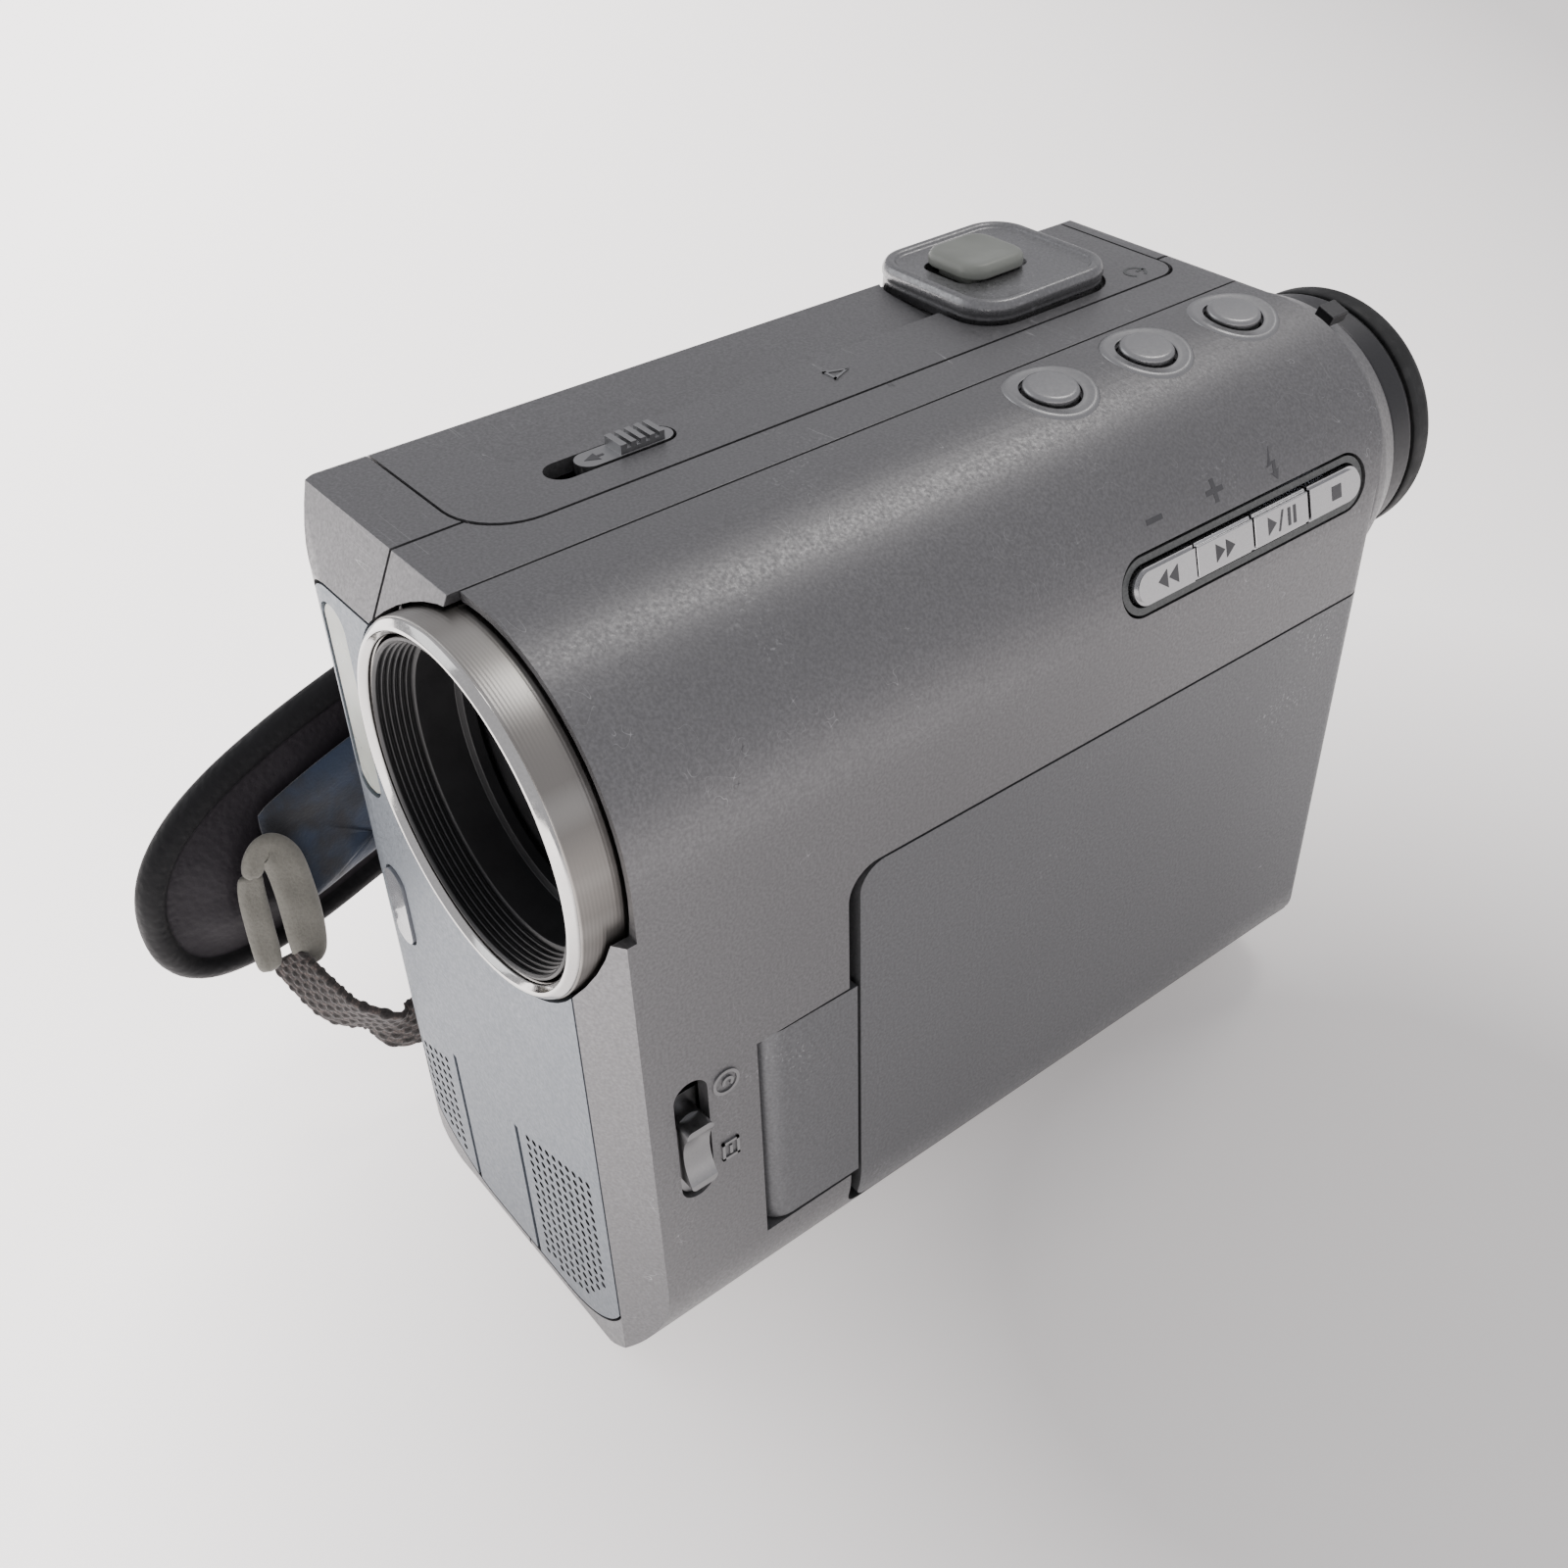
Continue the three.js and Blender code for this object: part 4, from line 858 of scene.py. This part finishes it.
def grille_holes():
    """Centres of the holes: two fields with slanted tops that follow the round lower corners."""
    corner_z = low("front_panel").z + PANEL_CORNER_R + 1.7
    holes = []
    for x0, x1, z_top in GRILLE_FIELDS:
        for i in range(int((x1 - x0) / GRILLE_PITCH) + 1):
            x = x0 + i * GRILLE_PITCH
            past = max(x - PANEL_CORNER_X[1], PANEL_CORNER_X[0] - x, 0.0)
            for k in range(GRILLE_ROWS):
                z = z_top + GRILLE_SLOPE * (x - x0) - k * GRILLE_PITCH
                if math.hypot(past, min(z - corner_z, 0)) < PANEL_CORNER_R:
                    holes.append((x, z))
    return holes


def build_front_panel():
    """The panel's own solid with rounded edges and real holes, black inside as painted shade."""
    panel = add_object("front_plate", NODES["front_panel"].data.copy())
    smooth(panel.data)
    soften(panel, 0.25)
    apply_modifiers(panel)
    front = low("front_panel").y
    centres = grille_holes()
    verts, faces = [], []
    for x, z in centres:
        start = len(verts)
        for y in (front - 1, front + 2.2):
            verts += [(px, y, pz) for px, pz in circle(HOLE_R, x, z, HOLE_SIDES)]
        back = start + HOLE_SIDES
        faces += caps(back, start, HOLE_SIDES)[::-1]
        for k in range(HOLE_SIDES):
            after = (k + 1) % HOLE_SIDES
            faces.append((start + k, back + k, back + after, start + after))
    subtract(panel, verts, faces)
    paint_object(panel, FRONT)
    # Painted shade: the walls of the holes take the black material, so that the holes read dark.
    panel.data.materials.append(BLACK)
    centres = np.array(centres)
    for face in panel.data.polygons:
        x, y, z = face.center / MM
        if y > front + 0.1 and np.hypot(*(centres - (x, z)).T).min() < HOLE_R + 0.1:
            face.material_index = 1
    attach(panel, "root")
    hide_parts("front_panel")


# ---- hand strap

# The strap's path from above (x, y) and its outline from the side (y, z), as in the CAD model.
STRAP_PATH = [(-26.6, 44), (-33, 33), (-40, 12), (-43.4, -12), (-44.6, -36), (-44.2, -56), (-42.6, -71.5)]
PAD_OUTLINE_STEP = 1.25
PAD_SEAM = 2.9
PAD_INSETS = [0, 0.12, 0.4, 0.8, 1.3, 1.8, 2.3, 2.7, 3.0, 3.3, 3.8, 4.6, 5.8, 7.4, 9.4, 12, 15, 19]
LINER_INSETS = [0, 0.2, 0.6, 1.2, 2.0, 3.0, 4.5, 6.5, 9, 13]
LINER_MARGIN = 6.2
STITCH_LINE = 3.25
STITCH_LENGTH = 2.1
STITCH_R = 0.3
PAD_CURVES = [
    [(43.5, 42), (20, 34), (-10, 33), (-45, 22.4)],
    [(-45, 22.4), (-60, 17.4), (-71.5, 19), (-71.5, 31)],
    [(-71.5, 31), (-71.5, 43), (-60, 47.6), (-43, 52.6)],
    [(-43, 52.6), (-15, 61), (15, 62), (43.5, 56)],
]


def spline(points, steps=12):
    """Catmull-Rom curve through the points."""
    pts = [np.array(p, float) for p in points]
    pts = [2 * pts[0] - pts[1]] + pts + [2 * pts[-1] - pts[-2]]
    out = []
    for a, b, c, d in zip(pts, pts[1:], pts[2:], pts[3:]):
        for i in range(steps):
            t = i / steps
            out.append(0.5 * (2 * b + (c - a) * t + (2 * a - 5 * b + 4 * c - d) * t * t
                              + (3 * b - a - 3 * c + d) * t ** 3))
    return np.array(out + [pts[-2]])


def bezier(points, steps=40):
    a, b, c, d = (np.array(p, float) for p in points)
    t = np.linspace(0, 1, steps, endpoint=False)[:, None]
    return (1 - t) ** 3 * a + 3 * (1 - t) ** 2 * t * b + 3 * (1 - t) * t * t * c + t ** 3 * d


PLAN = spline(STRAP_PATH)[::-1]


def plan_point(y):
    """Where the strap runs at a station, and the direction from it towards the body."""
    x = np.interp(y, PLAN[:, 1], PLAN[:, 0])
    slope = (np.interp(y + 1, PLAN[:, 1], PLAN[:, 0]) - np.interp(y - 1, PLAN[:, 1], PLAN[:, 0])) / 2
    return x, unit(np.array([1.0, -slope]))


def unit(vector):
    return vector / np.linalg.norm(vector)


def heading(path, i):
    """Direction of a path at its point i."""
    return unit(path[min(i + 1, len(path) - 1)] - path[max(i - 1, 0)])


def even_outline(points, step):
    """Points spaced evenly along a closed outline."""
    closed = np.vstack([points, points[:1]])
    lengths = np.concatenate([[0], np.cumsum(np.linalg.norm(np.diff(closed, axis=0), axis=1))])
    count = int(lengths[-1] / step)
    marks = np.linspace(0, lengths[-1], count, endpoint=False)
    return np.column_stack([np.interp(marks, lengths, closed[:, k]) for k in (0, 1)])


def spine(outline):
    """The line along the middle of an outline that each of its points leans towards."""
    front = outline[outline[:, 0].argmin()]
    stations = np.linspace(front[0] + 13, outline[:, 0].max() - 7, 40)
    heights = []
    for y in stations:
        near = outline[np.abs(outline[:, 0] - y) < 2.5][:, 1]
        heights.append((near.min() + near.max()) / 2)
    heights[0] = (heights[0] + front[1]) / 2
    y = np.clip(outline[:, 0], stations[0], stations[-1])
    return np.column_stack([y, np.interp(y, stations, heights)])


def inwards(outline):
    """Unit directions that point into the pad's outline, square to its edge."""
    ahead = np.roll(outline, -1, axis=0) - np.roll(outline, 1, axis=0)
    return np.column_stack([ahead[:, 1], -ahead[:, 0]]) / np.linalg.norm(ahead, axis=1)[:, None]


def inset_line(outline, inset):
    """The outline moved in by inset towards its spine, and how deep each point then lies."""
    lean = spine(outline) - outline
    reach = np.maximum((lean * inwards(outline)).sum(axis=1), 0.5 * np.linalg.norm(lean, axis=1))
    share = np.minimum(inset / reach, 1.0)
    return outline + lean * share[:, None], np.minimum(inset, reach)


def soft_band(name, outline, offset, insets, half, material, ripple, second=None, seam=0.0):
    """Padded band along the strap: rings of points from its edge to its middle, on both faces.

    Inside the seam, the face towards the body takes the second material.
    """
    count = len(outline)
    verts = []
    for face, order in ((1, insets), (-1, insets[::-1])):
        for inset in order:
            for (y, z), depth in zip(*inset_line(outline, inset)):
                x, normal = plan_point(y)
                wave = ripple * noise.noise(Vector((0.09 * y, 0.16 * z, 3.0 * face))) * min(depth / 8, 1)
                thick = offset + face * half(depth) + wave
                verts.append((x + normal[0] * thick, y + normal[1] * thick, z))
    turn = len(insets)
    faces, kinds = [], []
    for i in range(2 * turn - 1):
        if i == turn - 1:
            continue
        faces += bridge(i * count, (i + 1) * count, count)
        kinds += [int(i < turn - 1 and insets[i] >= seam)] * count
    return new_piece(name, verts, faces, material, "door", True, second, kinds)


def pad_half(depth):
    """Half thickness of the pad at a distance from its edge: piped rim, sewn groove, soft middle."""
    rim = 1.9 * math.sqrt(max(0.0, 1 - ((depth - 1.6) / 1.6) ** 2)) if depth < 3.2 else 0.0
    rise = min(max((depth - 3.4) / 7.0, 0.0), 1.0)
    middle_part = 0.95 + 1.5 * rise * rise * (3 - 2 * rise) if depth > 1.6 else 0.0
    return max(rim, middle_part)


def liner_half(depth):
    rise = min(depth / 3.0, 1.0)
    return 0.9 * math.sqrt(max(0.0, 1 - (1 - rise) ** 2))


def along_band(outline, inset, offset):
    """Evenly spaced points and directions on a line inside an outline, on one face of the band."""
    line = even_outline(inset_line(outline, inset)[0], 3.3)
    places = []
    for (y, z), (y2, z2) in zip(line, np.roll(line, -1, axis=0)):
        x, normal = plan_point(y)
        direction = Vector((0.0, y2 - y, z2 - z)).normalized()
        out = Vector((normal[0], normal[1], 0.0))
        places.append((Vector((x, y, z)) + out * offset, direction, out))
    return places


def build_stitches(places):
    """A row of short raised stitches."""
    verts, faces = [], []
    sides = 6
    stations = ((-0.5, 0.25), (-0.36, 0.85), (0.0, 1.0), (0.36, 0.85), (0.5, 0.25))
    for centre, direction, out in places:
        across = direction.cross(out).normalized()
        start = len(verts)
        for along, size in stations:
            for k in range(sides):
                a = math.tau * k / sides
                verts.append(centre + direction * along * STITCH_LENGTH
                             + (across * math.cos(a) + out * 0.7 * math.sin(a)) * STITCH_R * size)
        last = start + (len(stations) - 1) * sides
        for first in range(start, last, sides):
            faces += bridge(first, first + sides, sides)
        faces += caps(start, last, sides)
    new_piece("pad_stitches", verts, faces, THREAD, "door")


def pad_outline():
    return even_outline(np.vstack([bezier(c) for c in PAD_CURVES]), PAD_OUTLINE_STEP)


def build_pad():
    outline = pad_outline()
    pad = soft_band("leather_pad", outline, 0.0, PAD_INSETS, pad_half, LEATHER, 0.7,
                    INNER, PAD_SEAM)
    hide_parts("strap_pad")
    build_stitches(along_band(outline, STITCH_LINE, -1.05))


def build_liner():
    """Navy lining, inside the edge of the pad, with soft folds."""
    front, rear = low("strap_liner").y, high("strap_liner").y
    outline = pad_outline()
    outline = outline + LINER_MARGIN * inwards(outline)
    outline[:, 0] = np.clip(outline[:, 0], front + 0.3, rear - 0.3)
    outline = even_outline(outline, 1.4)
    liner = soft_band("navy_lining", outline, 3.3, LINER_INSETS, liner_half, NAVY, 1.3)
    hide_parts("strap_liner")


def soft_tube(name, route, widths, thickness):
    """Flattened beige band along a route in the strap's plane, with a creased middle."""
    sides = 20
    path = spline(route, 14)
    spread = spline([(w, 0) for w in widths], 14)[:, 0]
    rings = []
    for i, point in enumerate(path):
        side = unit(np.cross(heading(path, i), (1.0, 0, 0)))
        ends = math.sqrt(max(0.02, 1 - (2 * i / (len(path) - 1) - 1) ** 16))
        ring = []
        for k in range(sides):
            a = math.tau * k / sides
            across = math.copysign(abs(math.cos(a)) ** 0.8, math.cos(a)) * spread[i] / 2
            crease = 1 - 0.3 * math.exp(-(across / (0.16 * spread[i])) ** 2)
            ripple = 1 + 0.12 * math.sin(0.9 * point[2] + 0.8 * across)
            lift = math.sin(a) * thickness / 2 * crease * ripple * ends
            ring.append(point + side * across * ends + np.array([1.0, 0, 0]) * lift)
        rings.append(ring)
    return stacked_rings(name, rings, BEIGE, "door")


def build_loop():
    """Beige tape folded over: two strands that hang from one rounded fold."""
    a, b = low("strap_loop"), high("strap_loop")
    x = (a.x + b.x) / 2
    crown = b.z - 2.1
    near = [(x + 0.4, b.y - 2.6, a.z - 3.2), (x + 0.4, b.y - 2.3, a.z + 3), (x + 0.3, b.y - 2.3, a.z + 8.5),
            (x + 0.2, b.y - 2.7, crown - 2.3), (x, b.y - 3.9, crown), (x - 0.2, b.y - 5.4, crown - 0.8),
            (x - 0.3, b.y - 6.5, crown - 3.4)]
    far = [(x - 0.35, a.y + 2.6, a.z - 2.0), (x - 0.4, a.y + 2.7, a.z + 5), (x - 0.4, a.y + 2.9, a.z + 10),
           (x - 0.3, a.y + 3.3, crown - 2.6)]
    strand = soft_tube("beige_loop", near, (4.4, 4.8, 4.7, 4.5, 3.8, 3.0, 2.6), 1.6)
    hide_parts("strap_loop")
    soft_tube("beige_loop_back", far, (3.2, 3.3, 3.2, 2.8), 1.2)


# Stations along the webbing: its middle, the direction across it, and its width.
WEBBING_ROUTE = [(-38.9, -57.6, 22.2), (-37.6, -57.0, 20.1), (-33.6, -55.3, 16.8), (-30.4, -52.3, 15),
                 (-28.9, -48.8, 12.8), (-28.5, -42.5, 15), (-27.8, -37.6, 17.4)]
WEBBING_SIDES = [(0.3, 0.5, 0.8), (0.3, 0.4, 0.9), (0.4, 0.2, 0.9), (0.45, -0.2, 1), (0.1, 0, 1), (0, 0, 1),
                 (0, -0.2, 1)]
WEBBING_WIDTH = 7.4
WEBBING_WIDTHS = [(4.6, 0), (5.8, 0)] + [(WEBBING_WIDTH, 0)] * 5
WEBBING_HALF = 0.5
THREAD_WIDTH = 0.92


def build_webbing():
    """Woven band whose crossing threads are raised one by one, in two browns."""
    steps = 30
    route = spline(WEBBING_ROUTE, steps)
    sides = spline(WEBBING_SIDES, steps)
    widths = spline(WEBBING_WIDTHS, steps)[:, 0]
    columns = 40
    ring = 2 * columns
    shares = [((k + 0.5) if k < columns else (ring - k - 0.5)) / columns for k in range(ring)]
    lengths = np.linalg.norm(np.diff(route, axis=0), axis=1)
    travelled = np.concatenate([[0], np.cumsum(lengths)]) / THREAD_WIDTH
    verts, faces, kinds = [], [], []
    for i, point in enumerate(route):
        ahead = heading(route, i)
        side = unit(sides[i] - ahead * sides[i].dot(ahead))
        out = np.cross(ahead, side)
        along = travelled[i]
        for k, share in enumerate(shares):
            across = WEBBING_WIDTH * share / THREAD_WIDTH
            dark = (int(across) + int(along)) % 2
            kinds.append(dark)
            bump = abs(math.sin(math.pi * across)) ** 0.7 * abs(math.sin(math.pi * along)) ** 0.7
            edge = math.sqrt(max(0.0, 1 - (2 * share - 1) ** 10))
            height = WEBBING_HALF * edge + bump * (0.28 if dark else 0.1)
            face = 1 if k < columns else -1
            verts.append(point + side * widths[i] * (share - 0.5) + out * face * height)
    last = (len(route) - 1) * ring
    for first in range(0, last, ring):
        faces += bridge(first, first + ring, ring)
    faces += caps(0, last, ring)
    kinds = kinds[:last] + [0, 0]
    web = new_piece("woven_webbing", verts, faces, BROWN, "door", True, BROWN_DARK, kinds)
    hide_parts("strap_webbing")


# ---- camera, light and floor

# The camera's place in millimetres, and its axes.
VIEW_PLACE = Vector((112.65, -97.76, 159.86))
VIEW_FORWARD = Vector((-0.6270, 0.4715, -0.6202))
VIEW_UP = Vector((-0.47206, 0.40338, 0.78386))
LENS_LENGTH = 38.99


def build_camera():
    data = bpy.data.cameras.new("camera")
    data.lens = LENS_LENGTH
    data.sensor_width = 36
    data.clip_start = 0.005
    camera = add_object("camera", data)
    back = -VIEW_FORWARD.normalized()
    right = VIEW_UP.cross(back).normalized()
    up = back.cross(right)
    turn = Matrix((right, up, back)).transposed().to_4x4()
    camera.matrix_world = Matrix.Translation(VIEW_PLACE * MM) @ turn
    bpy.context.scene.camera = camera


def area_light(name, place, target, size, power, colour):
    data = bpy.data.lights.new(name, "AREA")
    data.shape = "RECTANGLE"
    data.size, data.size_y = size
    data.energy = power
    data.color = colour
    lamp = add_object(name, data)
    lamp.location = place
    lamp.rotation_euler = (Vector(target) - Vector(place)).to_track_quat("-Z", "Y").to_euler()


FLOOR_HALF = 3000
# The floor glows, as under a soft window: more towards the camera's left, and less beside the object.
GLOW_DIRECTION = (-0.6, -0.8, 0)
GLOW_REACH = (-0.25, 0.2)
GLOW = (0.5, 3.1)
SHADE_CENTRE = (0.06, 0.02, 0)
SHADE_REACH = (0.04, 0.14)
SHADE = (0.12, 1.0)


def build_stage():
    corners = [(x, y, 0) for x, y in bar(-FLOOR_HALF, FLOOR_HALF, -FLOOR_HALF, FLOOR_HALF)]
    floor = add_object("floor", mesh_from("floor", corners, [(0, 1, 2, 3)]))
    table = Finish("table", (0.86, 0.835, 0.82), 0.6)
    glow = table.band(table.distance(GLOW_DIRECTION), *GLOW_REACH, *GLOW)
    away = table.band(table.radius(SHADE_CENTRE), *SHADE_REACH, *SHADE)
    table.link(table.maths("MULTIPLY", glow, away), table.shader.inputs["Emission Strength"])
    table.shader.inputs["Emission Color"].default_value = (1.0, 0.95, 0.935, 1)
    paint_object(floor, table.material)

    world = bpy.data.worlds.new("room")
    bpy.context.scene.world = world
    world.use_nodes = True
    sky = world.node_tree.nodes["Background"]
    sky.inputs["Color"].default_value = (0.97, 0.96, 1.0, 1)
    sky.inputs["Strength"].default_value = 0.66
    area_light("window", (-0.8, -0.55, 0.5), (0, 0, 0.04), (0.7, 0.5), 1.5, (0.96, 0.98, 1.0))
    area_light("lamp", (-0.06, 0.44, 0.8), (0, 0, 0.05), (0.16, 0.4), 1.15, (1.0, 0.97, 0.93))


finish_cad_nodes()
build_ring()
build_sleeve()
build_lens_glass()
build_viewfinder()
build_menu_buttons()
build_key_symbols()
build_printed_symbols()
build_mode_icons()
build_top_marks()
build_zoom_control()
build_front_panel()
build_pad()
build_liner()
build_loop()
build_webbing()
build_camera()
build_stage()
